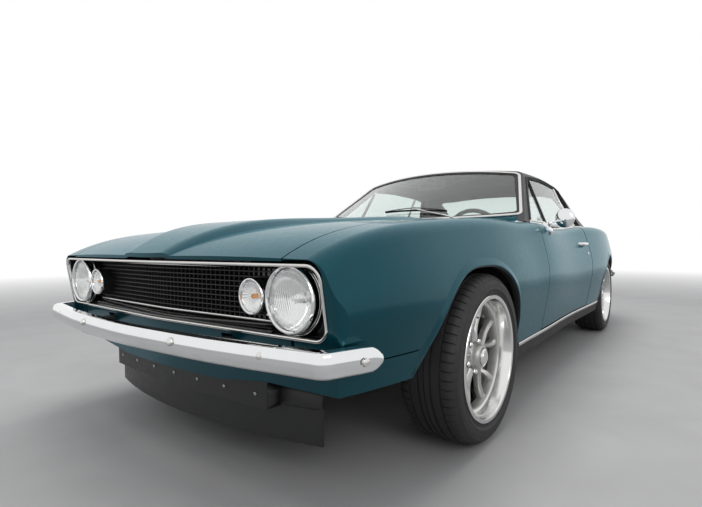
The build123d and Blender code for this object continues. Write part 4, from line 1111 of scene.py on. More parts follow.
q, _ = on_side(0.455, 0.7)
lock.lathe(q, X_AXIS, mm(0, 2.8, 3.5, 2.8, 4.2, 4.2, 8.8, 4, 11.2, 2.2, 11.8, -3), 48)
pair(lock, "door_lock", bright, door_bodies, angle=30)

head_at = Vector((0.915, -0.36, 0.912))
foot_at = Vector((0.852, -0.452, 0.8585))
mirror = Shape()
mirror.lathe(head_at, Y_AXIS, mm(0, -26.2, 12, -25.8, 26, -24, 38, -20.5, 47, -15, 52.5, -8, 54.5, -0.5, 54, 0,
    51.5, 0, 50.5, -1.5), 96)
mirror.lathe(head_at + Vector((-0.006, -0.022, -0.01)), (0.1, -0.99, -0.05), mm(0, 7.5, 4, 7, 7.5, 4, 9.5, -2),
    32)
mirror.tube([foot_at + Vector((0, 0, 0.006)), foot_at + Vector((0.008, -0.012, 0.026)),
                 head_at + Vector((-0.0065, -0.0265, -0.012))], 0.0055, 20, X_AXIS, 0.02)
mirror.lathe(foot_at + Vector((0.006, -0.008, 0.021)), (0.2, -0.2, 1),
    mm(0, 10.5, 6, 9, 9.8, 4, 10.4, -4, 8.5, -10), 32)
ground, tilt = on_top(foot_at.x - 0.006, foot_at.y, 0, door_tree)
lie = tilt.to_track_quat("Z", "Y").to_matrix().to_4x4()
foot_shape = turned(mm(0, 15, 12, 14.5, 19, 11, 21.5, 5, 22.5, 0, 22.5, -4), 64)
mirror.join(foot_shape.moved(Matrix.Translation(ground) @ lie @ Matrix.Diagonal((0.85, 1.95, 1, 1))))
piece(mirror, "mirror_body", chrome, "door_left", ("door_mirror",))
piece(Shape().lathe(head_at, Y_AXIS, mm(0, -1.4, 51.2, -1.4, 51.2, -4), 96), "mirror_glass", mirror_face,
    "door_left")

# Cowl: air slots and wipers
cowl_tree = surface("cowl_panel")
slots = Shape()
for side in (-1, 1):
    for k in range(14):
        x = side * (0.12 + 0.034 * k)
        y0 = -0.985 + 0.055 * (abs(x) / 0.6) ** 2
        ends = [on_top(x, y, 0.0008, cowl_tree)[0] for y in (y0, y0 + 0.06)]
        slots.sweep(ends, bar_section(0.011, 0.0016, 0.0006, -0.0008))
piece(slots, "cowl_slots", black_satin)

wiper_arms, wiper_blades = Shape(), Shape()
spindle = mm(0, 26, 7, 25, 10.5, 20, 12.5, 6, 17, 0, 17, -3)
for pivot_x, pivot_y, tip_x, mid_v in ((0.475, -0.835, -0.105, 0.1), (-0.29, -0.88, -0.68, 0.15)):
    base, n0 = on_top(pivot_x, pivot_y, 0, cowl_tree)
    wiper_arms.lathe(base, n0, spindle, 32)
    reach = tip_x - pivot_x
    mid_u = pivot_x + reach * 0.55
    hub_top = base + n0 * 0.018
    mid, nm = on_windshield(mid_u, mid_v, 0.03)
    wiper_arms.sweep([hub_top, hub_top.lerp(mid, 0.3) + nm * 0.006, hub_top.lerp(mid, 0.34) + nm * 0.005, mid],
                     ring_section(0.0065, 0.0042, 12), scale=lambda f: 1.25 if f < 0.4 else 0.72)
    (u0, v0), (u1, v1) = ((u, mid_v + lift + (0.268 / 0.53) * (u * u - mid_u * mid_u) * 0.9)
                          for u, lift in ((mid_u - math.copysign(0.2, reach), -0.012),
                                          (mid_u + math.copysign(0.2, reach), 0.012)))
    blade_low, blade_top = [], []
    for k in range(13):
        u, v = u0 + (u1 - u0) * k / 12, v0 + (v1 - v0) * k / 12
        blade_low.append(on_windshield(u, v, 0.002)[0])
        blade_top.append(on_windshield(u, v, 0.013 + 0.012 * (1 - abs(k - 6) / 6))[0])
    wiper_blades.sweep(blade_low, bar_section(0.004, 0.011, 0.001), ups=[nm] * 13)
    wiper_blades.sweep(blade_top, bar_section(0.006, 0.004, 0.001, -0.002), ups=[nm] * 13)
    for k in (1, 3, 9, 11):
        wiper_blades.tube([blade_low[k] + nm * 0.006, blade_top[k]], 0.0025, 8, X_AXIS)
piece(wiper_arms, "wiper_arms", bright)
piece(wiper_blades, "wiper_blades", black_satin)

# Cabin: padded seats
def padded_cushion(name, size, matrix, pleats, taper=0):
    """Rounded block that swells under pressure, then gets sewn pleats and a welt. Its top is +Z."""
    cap = 0.022
    half = Vector(size) / 2
    sx, sy, sz = size
    bm = bmesh.new()
    bmesh.ops.create_cube(bm, size=1)
    for v in bm.verts:
        v.co = Vector((v.co.x * (sx - cap), v.co.y * (sy - cap), v.co.z * (sz - cap)))
        v.co.x *= 1 - taper * (v.co.y / sy + 0.5)
    bmesh.ops.bevel(bm, geom=bm.edges[:], offset=0.03, segments=4, affect="EDGES", profile=0.5)
    mesh = bpy.data.meshes.new(name)
    bm.to_mesh(mesh)
    bm.free()
    obj = bpy.data.objects.new(name, mesh)
    scene.collection.objects.link(obj)
    r = obj.modifiers.new("remesh", "REMESH")
    r.mode = "VOXEL"
    r.voxel_size = 0.014
    dg = bpy.context.evaluated_depsgraph_get()
    fine = bpy.data.meshes.new_from_object(obj.evaluated_get(dg))
    obj.modifiers.clear()
    obj.data = fine
    rest = [v.co.copy() for v in fine.vertices]
    cloth = obj.modifiers.new("cloth", "CLOTH")
    for k, value in dict(use_pressure=True, uniform_pressure_force=4, mass=0.3, tension_stiffness=15,
                         compression_stiffness=15, bending_stiffness=0.5).items():
        setattr(cloth.settings, k, value)
    cloth.settings.effector_weights.gravity = 0
    cloth.point_cache.frame_start, cloth.point_cache.frame_end = 1, 20
    for f in range(1, 21):
        scene.frame_set(f)
    dg = bpy.context.evaluated_depsgraph_get()
    swollen = obj.evaluated_get(dg).to_mesh()
    after = [v.co.copy() for v in swollen.vertices]
    obj.evaluated_get(dg).to_mesh_clear()
    obj.modifiers.clear()
    scene.frame_set(1)
    for v, a, b in zip(fine.vertices, rest, after):
        d = b - a
        q = a + d * min(1, cap / max(d.length, 1e-9))
        v.co = [max(-h, min(h, c)) for h, c in zip(half, q)]
    sub = obj.modifiers.new("fine", "SUBSURF")
    sub.levels = sub.render_levels = 1
    dg = bpy.context.evaluated_depsgraph_get()
    done = bpy.data.meshes.new_from_object(obj.evaluated_get(dg))
    bpy.data.objects.remove(obj)
    fx, fy = half.x - 0.055, half.y - 0.044
    for v in done.vertices:
        p = v.co
        if p.z > 0 and abs(p.x) < half.x - 0.02 and abs(p.y) < half.y - 0.015:
            border = min(abs(abs(p.x) - fx) if abs(p.y) < fy + 0.004 else 9,
                         abs(abs(p.y) - fy) if abs(p.x) < fx + 0.004 else 9)
            drop = 0.0075 * math.exp(-(border / 0.0045) ** 2)
            if abs(p.x) < fx and abs(p.y) < fy:
                u = p.x / pleats - math.floor(p.x / pleats) - 0.5
                drop = max(drop, 0.0055 * math.exp(-((0.5 - abs(u)) * pleats / 0.0042) ** 2))
            p.z -= drop
    done.name = name
    done.materials.clear()
    done.materials.append(seat_vinyl)
    done.shade_smooth()
    done.transform(matrix)
    return done


def soft_pair(mesh, name, replaces=()):
    """The cushion on the left and a mirrored copy on the right."""
    other = mesh.copy()
    other.transform(mirror_x)
    other.flip_normals()
    for data, side in ((mesh, "left"), (other, "right")):
        obj = place(data, f"{name}_{side}", "body", replaces=replaces if side == "left" else ())


seat_x, bench_x = 0.3975, 0.2775
front_pleats, rear_pleats = 0.058, 0.062
back_lean, rear_back_lean = -math.atan2(0.16, 0.43), -math.atan2(0.155, 0.36)
cushion_frame = Matrix.Translation((seat_x, -0.128, 0.408)) @ turn(-3)
back_frame = Matrix.Translation((seat_x, 0.243, 0.668)) @ Matrix.Rotation(back_lean, 4, "X") @ turn(90)
bench_frame = Matrix.Translation((bench_x, 0.602, 0.43)) @ turn(-2)
rear_back_frame = Matrix.Translation((bench_x, 0.905, 0.652)) @ Matrix.Rotation(rear_back_lean, 4,
    "X") @ turn(90)
cushion = padded_cushion("seat_cushion", (0.465, 0.48, 0.125), cushion_frame, front_pleats, 0)
soft_pair(cushion, "seat_cushion_piece", ("front_seats",))
cushion = padded_cushion("seat_back", (0.455, 0.44, 0.105), back_frame, front_pleats, 0.12)
soft_pair(cushion, "seat_back_piece", ())
cushion = padded_cushion("bench", (0.545, 0.38, 0.1), bench_frame, rear_pleats, 0)
soft_pair(cushion, "rear_cushion_piece", ("rear_seat",))
cushion = padded_cushion("rear_back", (0.545, 0.36, 0.085), rear_back_frame, rear_pleats, 0)
soft_pair(cushion, "rear_back_piece", ())

frames = Shape()
frames.block((seat_x - 0.2, -0.355, 0.268), (seat_x + 0.2, 0.1, 0.342), 0.012)
frames.block((seat_x - 0.175, -0.345, 0.2525), (seat_x - 0.145, 0.12, 0.27), 0.004)
frames.block((seat_x + 0.145, -0.345, 0.2525), (seat_x + 0.175, 0.12, 0.27), 0.004)
for s in (-1, 1):
    frames.lathe((seat_x + s * 0.236, 0.12, 0.395), (s, 0, 0), mm(0, 6, 26, 4, 30, -2, 30, -10), 32)
shell_m = back_frame @ Matrix.Translation((0, 0, -0.062))
outline = rounded([(-0.215, -0.21, 0), (0.215, -0.21, 0), (0.19, 0.2, 0), (-0.19, 0.2, 0)], 0.05, 0.2, True)
frames.slab(outline, 0.022, shell_m, 0.006)
pair(frames, "seat_frame", black_satin)

# Steering wheel and its column
col_lean = math.radians(22)
hub_at = Vector((0.39, -0.4, 0.8))
spin_axis = Vector((0, math.cos(col_lean), math.sin(col_lean)))
up_wheel = Vector((0, -math.sin(col_lean), math.cos(col_lean)))
wheel_frame = frame_of((-1, 0, 0), up_wheel, spin_axis, hub_at)
grip = Shape()
rows = []
for k in range(120):
    t = 2 * pi * k / 120
    wave = 0.0007 * math.cos(t * 40)
    centre_line = Vector((0.185 * math.cos(t), 0.185 * math.sin(t), 0))
    rows.append([centre_line + Vector((math.cos(t) * math.cos(a), math.sin(t) * math.cos(a), math.sin(a))) *
        (0.0128 + wave) for a in (2 * pi * j / 16 for j in range(17))])
grip.grid(rows, closed_u=True)
piece(grip.moved(wheel_frame), "steering_rim", black_satin, "steering_wheel", ("steering_wheel",), angle=80)
spokes = Shape()
for t in map(math.radians, (8, 172, 270)):
    d = Vector((math.cos(t), math.sin(t), 0))
    side = Vector((-d.y, d.x, 0))
    for s in (-1, 1):
        line = [d * 0.04 + side * (s * 0.016) + Vector((0, 0, -0.006)), d * 0.1 + side * (s * 0.013) +
            Vector((0, 0, -0.004)), d * 0.18 + side * (s * 0.01)]
        spokes.sweep(line, bar_section(0.0085, 0.004, 0.001, -0.002))
piece(spokes.moved(wheel_frame), "steering_spokes", bright, "steering_wheel")
horn = turned(mm(0, 10, 22, 9, 36, 5, 43, -3, 45, -12, 38, -24, 0, -24), 64)
piece(horn.moved(wheel_frame), "horn_cap", black_satin, "steering_wheel")
column = Shape()
column.lathe(wheel_frame @ Vector((0, 0, -0.03)), -spin_axis,
    mm(0, 0, 27, 0, 31, 6, 31, 60, 28, 100, 28, 215, 0, 215), 40)
lever = [wheel_frame @ Vector(p) for p in ((0, 0, -0.055), (0.06, 0.015, -0.052), (0.135, 0.03, -0.04))]
column.tube(lever, 0.0042, 12, spin_axis)
column.lathe(lever[2], lever[2] - lever[1], mm(0, 10, 5, 9, 7.5, 4, 7, -6, 4, -12), 20)
piece(column, "steering_column", black_satin)

# Dashboard: padded top, instrument pods, controls, glovebox
dash = Shape()
pad = rounded([(0, -0.782, 0.851), (0, -0.6, 0.856), (0, -0.548, 0.838), (0, -0.548, 0.815), (0, -0.575, 0.822),
               (0, -0.782, 0.835)], [0.004, 0.03, 0.014, 0.008, 0.01, 0.004], 0.2, True)
dash.sweep([Vector((x, 0, 0)) for x in (-0.688, -0.68, 0.68, 0.688)], [(-p.y, p.z) for p in pad])
piece(dash, "dash_pad", seat_vinyl, angle=40)
face_up = Vector((0, -0.316, 0.949))
face_out = Vector((0, 0.949, 0.316))


def on_dash(x, h):
    """Point on the dashboard's upper face, h up from its edge."""
    return Vector((x, -0.56, 0.76)) + face_up * h


pods, dials, marks, needles, knobs = Shape(), Shape(), Shape(), Shape(), Shape()
dash_turn = frame_of((-1, 0, 0), face_up, face_out)


def dash_frame(x, h, out=0):
    return Matrix.Translation(on_dash(x, h) + face_out * out) @ dash_turn


for gx, gr in ((0.3, 0.052), (0.48, 0.052), (0.39, 0.026)):
    at = dash_frame(gx, 0.03)
    pods.join(turned([(gr, 0.001), (gr, 0.02), (gr + 0.003, 0.022), (gr + 0.006, 0.02),
                                                   (gr + 0.0075, 0)], 72).moved(at))
    dials.join(turned([(0, 0.003), (gr, 0.003)], 48).moved(at))
    for k in range(25):
        t = math.radians(225 - 270 * k / 24)
        d = Vector((math.cos(t), math.sin(t), 0)) * gr
        mark = [d * (0.74 if k % 4 == 0 else 0.82) + Vector((0, 0, 0.004)), d * 0.92 + Vector((0, 0, 0.004))]
        mark_section = mm(-0.7, 0, 0.7, 0, 0.7, 0.3, -0.7, 0.3)
        marks.join(Shape().sweep(mark, mark_section).moved(at))
    t = math.radians(215)
    needle = [(0, 0, 0.006), Vector((math.cos(t), math.sin(t), 0)) * gr * 0.8 + Vector((0, 0, 0.006))]
    needle_section = mm(-1.2, 0, 1.2, 0, 0.5, 1, -0.5, 1)
    needles.join(Shape().sweep(needle, needle_section).moved(at))
piece(pods, "gauge_bezels", bright)
piece(dials, "gauge_faces", black_gloss)
piece(marks, "gauge_marks", white_face)
piece(needles, "gauge_needles", finish_of("needle_orange", "black_trim", (0.7, 0.1, 0.02), 0.9, 0, (0.4, 0.5),
    90))
panel_outline = mm(-110, -5, 110, -5, 110, 68, -110, 68)
piece(Shape().slab(panel_outline, 0.004, dash_frame(0, 0.005), 0.002), "radio_panel", bright)
radio = Shape().slab(mm(-52, 0, 52, 0, 52, 22, -52, 22), 0.0022,
                     dash_frame(0, 0.038, 0.004), 0.001)
radio.slab(mm(-85, 0, 85, 0, 85, 4, -85, 4), 0.0012, dash_frame(0, 0.018, 0.004))
piece(radio, "radio_dial", black_gloss)
knob = turned(mm(0, 24, 8, 23.5, 10.5, 20, 11.5, 9, 8.5, 6, 8.5, 0), 28)
for x, h in ((-0.082, 0.048), (0.082, 0.048), (-0.03, 0.02), (0.04, 0.02), (0.205, 0.03), (0.575, 0.03),
        (0.62, 0.03)):
    knobs.join(knob.moved(dash_frame(x, h)))
piece(knobs, "dash_knobs", bright)
glovebox = Shape().slab(box_outline(-0.17, 0, 0.17, 0.078, 0.008, 0.3), 0.006, dash_frame(-0.43, 0.004), 0.003)
piece(glovebox, "glovebox_door", black_satin)
glove_lock = turned(mm(0, 10, 9, 9.5, 12, 6, 12, 4), 28)
piece(glove_lock.moved(dash_frame(-0.43, 0.064)), "glovebox_lock", bright)
strip = Shape().sweep([on_dash(-0.68, 0.086), on_dash(0.68, 0.086)], bar_section(0.006, 0.004, 0.001), face_out)
piece(strip, "dash_strip", bright)


# Carpet, headlining and trim panels, read off the CAD walls from inside
def lining(name, tree, us, vs, start, direction, lift, material, bodies=None, thick=0.004, relief=None):
    """Sheet over a grid of rays from inside; relief moves its points a little."""
    rows = []
    for u in us:
        hits = [tree.ray_cast(start(u, v), direction)[0] for v in vs]
        rows.append([at - direction * lift if at else None for at in hits])
    s = Shape()
    index = {}
    for i, row in enumerate(rows):
        for j, p in enumerate(row):
            if p is not None:
                index[i, j] = len(s.v)
                s.v.append(p + (relief(us[i], vs[j]) if relief else Vector()))
    for i in range(len(us) - 1):
        for j in range(len(vs) - 1):
            q = [(i, j), (i + 1, j), (i + 1, j + 1), (i, j + 1)]
            if all(k in index for k in q):
                pts = [s.v[index[k]] for k in q]
                if max((pts[a] - pts[a - 1]).length for a in range(4)) < 0.12:
                    s.f.append(tuple(index[k] for k in q))
    if bodies:
        pair(s, name, material, bodies, angle=50, thick=thick)
    else:
        piece(s, name, material, angle=50, thick=thick)


def steps_between(a, b, n):
    return [a + (b - a) * k / n for k in range(n + 1)]


floor_tree = surface("floor_pan")
lining("carpet_front", floor_tree, steps_between(-0.735, 0.735, 98), steps_between(-0.88, 0.795, 50),
       lambda u, v: Vector((u, v, 0.6)), Vector((0, 0, -1)), 0.006, carpet, thick=0.008)
lining("toe_board", floor_tree, steps_between(-0.73, 0.73, 60), steps_between(0.262, 0.82, 24),
       lambda u, v: Vector((u, -0.6, v)), Vector((0, -1, 0)), 0.008, carpet, thick=0.008)
lining("headlining", roof_tree, steps_between(-0.585, 0.585, 60), steps_between(-0.19, 0.8, 50),
       lambda u, v: Vector((u, v, 1.05)), Vector(Z_AXIS), 0.006, headlining, thick=0.003,
       relief=lambda u, v: Vector((0, 0, -0.006 * math.exp(-((((v + 0.19) % 0.198) - 0.099) / 0.01) ** 2))))


def card_relief(u, v):
    """Raised middle panel with upright pleats and a sewn edge."""
    d = 0.004 * (0.5 < v < 0.8) * (-0.52 < u < 0.44)
    groove = min(abs(v - 0.5), abs(v - 0.8))
    d -= 0.003 * math.exp(-(groove / 0.006) ** 2)
    if 0.5 < v < 0.8 and -0.52 < u < 0.44:
        d -= 0.003 * math.exp(-(min((u + 0.52) % 0.048, 0.048 - (u + 0.52) % 0.048) / 0.005) ** 2)
    return Vector((-d, 0, 0))


lining("door_card", door_tree, steps_between(-0.598, 0.5, 132), steps_between(0.33, 0.855, 42),
       lambda u, v: Vector((0.4, u, v)), Vector(X_AXIS), 0.006, seat_vinyl, door_bodies, 0.004, card_relief)
quarter_in = surface("quarter_panels rear_wheelhouses")
lining("quarter_card", quarter_in, steps_between(0.562, 0.93, 40), steps_between(0.45, 0.845, 40),
       lambda u, v: Vector((0.3, u, v)), Vector(X_AXIS), 0.006, seat_vinyl, ("body", "body"), 0.004)


def card_at(y, z):
    at, _, _, _ = door_tree.ray_cast(Vector((0.4, y, z)), Vector(X_AXIS))
    return at if at else Vector((0.8, y, z))


arm_rest = Shape()
p = card_at(0.1, 0.585)
arm_rest.block((p.x - 0.062, -0.06, 0.56), (p.x - 0.004, 0.3, 0.602), 0.016, segments=4)
arm_rest.block((p.x - 0.052, -0.035, 0.535), (p.x - 0.004, 0.275, 0.563), 0.008)
pair(arm_rest, "door_armrest", seat_vinyl, door_bodies, angle=60)
crank = Shape()
p = card_at(-0.16, 0.62)
crank.lathe(p + Vector((-0.008, 0, 0)), (-1, 0, 0), mm(0, 20, 12, 19.5, 16.5, 14, 20, 2, 22, 0), 36)
crank.tube([p + Vector((-0.02, 0, 0)), p + Vector((-0.03, 0.03, 0.04)), p + Vector((-0.034, 0.062, 0.078))],
    (0.0075, 0.0045), 14, X_AXIS, 0.03)
crank.lathe(p + Vector((-0.03, 0.062, 0.078)), (-1, 0, 0), mm(0, 34, 9, 32, 11.5, 22, 8.5, 6, 8.5, 0), 28)
p = card_at(-0.33, 0.69)
crank.lathe(p + Vector((-0.008, 0, 0)), (-1, 0, 0), mm(0, 16, 12, 15.5, 15.5, 10, 18, 0), 36)
crank.tube([p + Vector((-0.016, 0, 0)), p + Vector((-0.026, 0.025, 0.002)), p + Vector((-0.03, 0.105, 0.006))],
    (0.0045, 0.008), 14, corner=0.02)
pair(crank, "window_crank", bright, door_bodies)

# Rear-view mirror, sun visors, console, gear lever and pedals
rear_view = Shape()
mid_top, _ = on_windshield(0, 0.64, -0.012)
holder = mid_top + Vector((0, 0.03, -0.052))
rear_view.tube([mid_top, mid_top + Vector((0, 0.012, -0.02)), holder], 0.005, 12, X_AXIS, 0.01)
outline = rounded([(-0.112, -0.027, 0), (0.112, -0.027, 0), (0.118, 0.027, 0), (-0.118, 0.027, 0)], 0.022, 0.25,
    True)
view_frame = frame_of((-1, 0, 0), Z_AXIS, Y_AXIS, holder)
rear_view.slab(outline, 0.012, view_frame, 0.004)
piece(rear_view, "interior_mirror", black_satin)
piece(Shape().slab([(q.x * 0.94, q.y * 0.86) for q in outline], 0.0008, view_frame @
    Matrix.Translation((0, 0, 0.0122))), "interior_mirror_glass", mirror_face)
at_visor = Matrix.Translation((0.3, -0.12, 1.2215)) @ turn(17)
pair(Shape().slab(box_outline(-0.19, -0.065, 0.19, 0.065, 0.03, 0.25), 0.014, at_visor, 0.005), "sun_visor",
    headlining)
console = Shape().block((-0.098, -0.56, 0.362), (0.098, 0.33, 0.432), 0.016, segments=3)
piece(console, "console", black_satin, angle=60)
trim_top = Shape().block((-0.08, -0.5, 0.4305), (0.08, -0.12, 0.4345), 0.0015)
trim_top.block((-0.08, -0.08, 0.4305), (0.08, 0.3, 0.4345), 0.0015)
piece(trim_top, "console_plate", bright)
shifter = Shape().lathe((0, -0.3, 0.434), Z_AXIS, mm(0, 30, 12, 30, 20, 20, 34, 6, 45, 0), 48)
piece(shifter, "shift_boot", seat_vinyl)
stick = Shape()
stick.tube([(0, -0.3, 0.46), (0, -0.29, 0.54), (0, -0.25, 0.62)], 0.006, 14, X_AXIS, 0.08)
piece(stick, "shift_stick", bright)
knob = Shape().lathe((0, -0.246, 0.63), (0, 0.45, 0.9), mm(0, 25, 10, 23.5, 20, 15, 23.5, 3, 20, -10, 9, -18),
    40)
piece(knob, "shift_knob", black_gloss)
pedals = Shape()
for px, w, h in ((0.56, 0.034, 0.055), (0.455, 0.04, 0.045), (0.275, 0.028, 0.11)):
    top = Vector((px, -0.8, 0.64))
    low = Vector((px, -0.765 if h < 0.1 else -0.805, 0.37 if h < 0.1 else 0.34))
    pedals.sweep([top, low + Vector((0, -0.012, 0))], bar_section(0.012, 0.006, 0.002), Y_AXIS)
    m_p = Matrix.Translation(low) @ turn(62)
    pedals.block((-w, -h / 2, -0.006), (w, h / 2, 0.008), 0.004, m_p)
    for k in range(5):
        y = -h / 2 + h * (k + 0.5) / 5
        pedals.block((-w * 0.85, y - 0.0025, 0.007), (w * 0.85, y + 0.0025, 0.011), 0.001, m_p)
piece(pedals, "pedals", rubber)

# Parcel shelf behind the rear seat
outline = rounded([(-0.56, 0.985, 0), (0.56, 0.985, 0), (0.6, 1.4, 0), (-0.6, 1.4, 0)], 0.03, 0.3, True)
shelf = Shape().slab(outline, 0.012, Matrix.Translation((0, 0, 0.826)), 0.004)
for s in (-1, 1):
    for k in range(9):
        shelf.sweep([(s * 0.36 - 0.07, 1.1 + 0.02 * k, 0.8385), (s * 0.36 + 0.07, 1.1 + 0.02 * k, 0.8385)],
                    bar_section(0.007, 0.003, 0.001))
piece(shelf, "parcel_shelf", black_satin)

# Tail: lamps, reversing lamps, filler cap and lock
to_rear = frame_of((-1, 0, 0), Z_AXIS, Y_AXIS)


def lamp_slab(x0, x1, z0, z1, y0, y1, radius):
    outline = [(-p.x, p.y) for p in box_outline(x0, z0, x1, z1, radius)]
    return Shape().slab(outline[::-1], y1 - y0, Matrix.Translation((0, y0, 0)) @ to_rear, 0.002)


tail_back = lamp_slab(0.36, 0.68, 0.615, 0.725, 2.262, 2.272, 0.024)
tail_red = lamp_slab(0.458, 0.677, 0.618, 0.722, 2.273, 2.29, 0.02)
tail_clear = lamp_slab(0.363, 0.45, 0.618, 0.722, 2.273, 2.29, 0.018)
for k in range(12):
    z = 0.6265 + 0.0079 * k
    tail_red.tube([(0.466, 2.29, z), (0.669, 2.29, z)], (0.0035, 0.0038), 10)
for k in range(10):
    x = 0.371 + 0.0079 * k
    tail_clear.tube([(x, 2.29, 0.625), (x, 2.29, 0.715)], (0.0034, 0.0034), 10, Y_AXIS)
pair(tail_back, "tail_lamp_reflector", reflector)
pair(tail_red, "tail_lamp_lens", red, replaces=(("tail_lamps",), ()))
pair(tail_clear, "reversing_lamp_lens", lens)
ring = Shape()
edge = rounded([(0.355, 2.294, 0.61), (0.685, 2.294, 0.61), (0.685, 2.294, 0.73), (0.355, 2.294, 0.73)], 0.028,
    0.15, True)
ring.sweep(edge, mm(-6, -44, 6, -44, 6, 2, 2, 6.5, -4, 6.5, -8, 2),
           Y_AXIS, closed=True)
ring.sweep([(0.454, 2.292, 0.612), (0.454, 2.292, 0.728)], bar_section(0.007, 0.009, 0.002, -0.002), Y_AXIS)
pair(ring, "tail_lamp_bezel", bright)
cap_at, _ = on_tail(0, 0.668)
cap = Shape().lathe(cap_at, Y_AXIS, mm(0, 13, 10, 12.8, 18, 11.2, 22, 8.5, 34, 8.5, 37, 11, 41, 10.5, 44, 7, 45,
    0, 45, -3), 96)
for k in range(24):
    t = 2 * pi * k / 24
    d = Vector((math.cos(t), 0, math.sin(t)))
    cap.sweep([cap_at + d * 0.0435 + Vector((0, 0.001, 0)), cap_at + d * 0.0435 + Vector((0, 0.0085, 0))],
              ring_section(0.0022, sides=8), d)
piece(cap, "filler_cap", bright)
lock_at, _ = on_tail(0, 0.77)
piece(Shape().lathe(lock_at, Y_AXIS, mm(0, 4.5, 4, 4.5, 5, 6.5, 12, 6, 15.5, 3, 16, -3), 48), "trunk_lock",
    bright)
panel_edge = Shape()
line = [on_tail(-0.61 + 0.02 * k, 0.7935)[0] for k in range(62)]
panel_edge.sweep(smooth_line(line, 2), bar_section(0.006, 0.004, 0.001, -0.001), Y_AXIS)
piece(panel_edge, "tail_panel_moulding", bright)


# Tail pipes over the axle to the rear
route = [(0.23, 1, 0.2), (0.255, 1.08, 0.205), (0.415, 1.2, 0.392), (0.425, 1.34, 0.399), (0.425, 1.48, 0.385),
         (0.415, 1.7, 0.262), (0.41, 1.9, 0.231), (0.41, 2.225, 0.229)]
tail_pipe = Shape().tube(route, 0.0235, 20, (1, 0.2, 0.3), [0, 0.06, 0.06, 0.2, 0.12, 0.12, 0.2, 0], 0.15)
pair(tail_pipe, "tail_pipe", steel)
tips = Shape().lathe((0.41, 2.12, 0.229), Y_AXIS, mm(24.5, 0, 29, 6, 30, 12, 30, 118, 28.5, 121, 27, 118, 26.5,
    50, 0, 50), 48)
pair(tips, "exhaust_tip", bright)
muffler = Shape()
for y0 in (0.19, 0.628):
    muffler.lathe((0.23, y0, 0.1965), Y_AXIS, mm(28.5, -30, 31, -28, 31, 14, 28.5, 18), 32)
for y0 in (0.215, 0.3, 0.41, 0.52, 0.605):
    outline = rounded([(0.1375, y0, 0.1625), (0.3225, y0, 0.1625), (0.3225, y0, 0.2305), (0.1375, y0, 0.2305)],
        0.022, 0.2, True)
    muffler.sweep(outline, bar_section(0.01, 0.002, 0.0005, -0.0002), up=(0, 1, 0), closed=True)
pair(muffler, "muffler_bands", steel)

# Driveline and rear suspension
driveline = Shape()
driveline.sweep([(0, -1.18, 0.41), (0, -1.06, 0.39), (0, -0.93, 0.292), (0, -0.64, 0.284),
                 (0, -0.56, 0.284)], ring_section(1, sides=32),
                scale=lambda f: (0.165, 0.15, 0.068, 0.062, 0.04)[round(f * 4)])
driveline.tube([(0, -0.56, 0.284), (0, 1.205, 0.318)], 0.034, 28)
for y0, z0 in ((-0.545, 0.2845), (1.19, 0.3175)):
    driveline.lathe((0, y0, z0), Y_AXIS, mm(0, -30, 44, -28, 46, -10, 30, 0, 46, 10, 44, 28, 0, 30), 28)
piece(driveline, "transmission_and_shaft", steel)
axle_trim = Shape().lathe((0, REAR_AXLE, 0.32), Y_AXIS, mm(102, 62, 104, 70, 94, 74, 86, 86, 60, 102, 0, 108),
    48)
for k in range(10):
    t = 2 * pi * k / 10
    axle_trim.lathe((0.094 * math.cos(t), 1.403, 0.32 + 0.094 * math.sin(t)), Y_AXIS, mm(0, 8, 6, 8, 6.5, 0), 6)
piece(axle_trim, "differential_cover", cast)
spring = Shape()
for level in range(4):
    half = 0.46 - 0.095 * level
    z0 = 0.2585 - 0.0068 * level
    rows = [Vector((0.53, REAR_AXLE - half, z0 + 0.001)), Vector((0.53, REAR_AXLE, z0)),
        Vector((0.53, REAR_AXLE + half, z0 + 0.001))]
    spring.sweep(rows, bar_section(0.052, 0.006, 0.0015, -0.003))
for y0 in (1.291, 1.371):
    spring.tube([(0.497, y0, 0.232), (0.497, y0, 0.372), (0.563, y0, 0.372), (0.563, y0, 0.232)], 0.0055, 12,
        Y_AXIS, 0.012, step=0.25)
for y0 in (0.775, 1.89):
    spring.lathe((0.495, y0, 0.276), X_AXIS, mm(0, 0, 24, 0, 26, 4, 26, 66, 24, 70, 0, 70), 28)
    spring.sweep([(0.49, y0, 0.276), (0.49, y0 - 0.02 * (1 if y0 < 1 else -1), 0.395)],
                 bar_section(0.03, 0.005, 0.001), X_AXIS)
pair(spring, "leaf_spring", underbody)


def damper(low, high, radius):
    low, high = Vector(low), Vector(high)
    axis = high - low
    length = axis.length
    return Shape().lathe(low, axis, [(0, -0.012), (0.014, -0.01), (0.016, 0.008), (radius * 0.9, 0.018),
        (radius, 0.024), (radius, length * 0.55), (radius * 0.92, length * 0.56), (0.008, length * 0.57),
        (0.008, length - 0.02), (radius * 0.8, length - 0.018), (radius * 0.8, length - 0.006), (0, length)],
        28)


pair(damper((0.465, 1.4, 0.272), (0.385, 1.48, 0.428), 0.023), "rear_shock", black_satin)

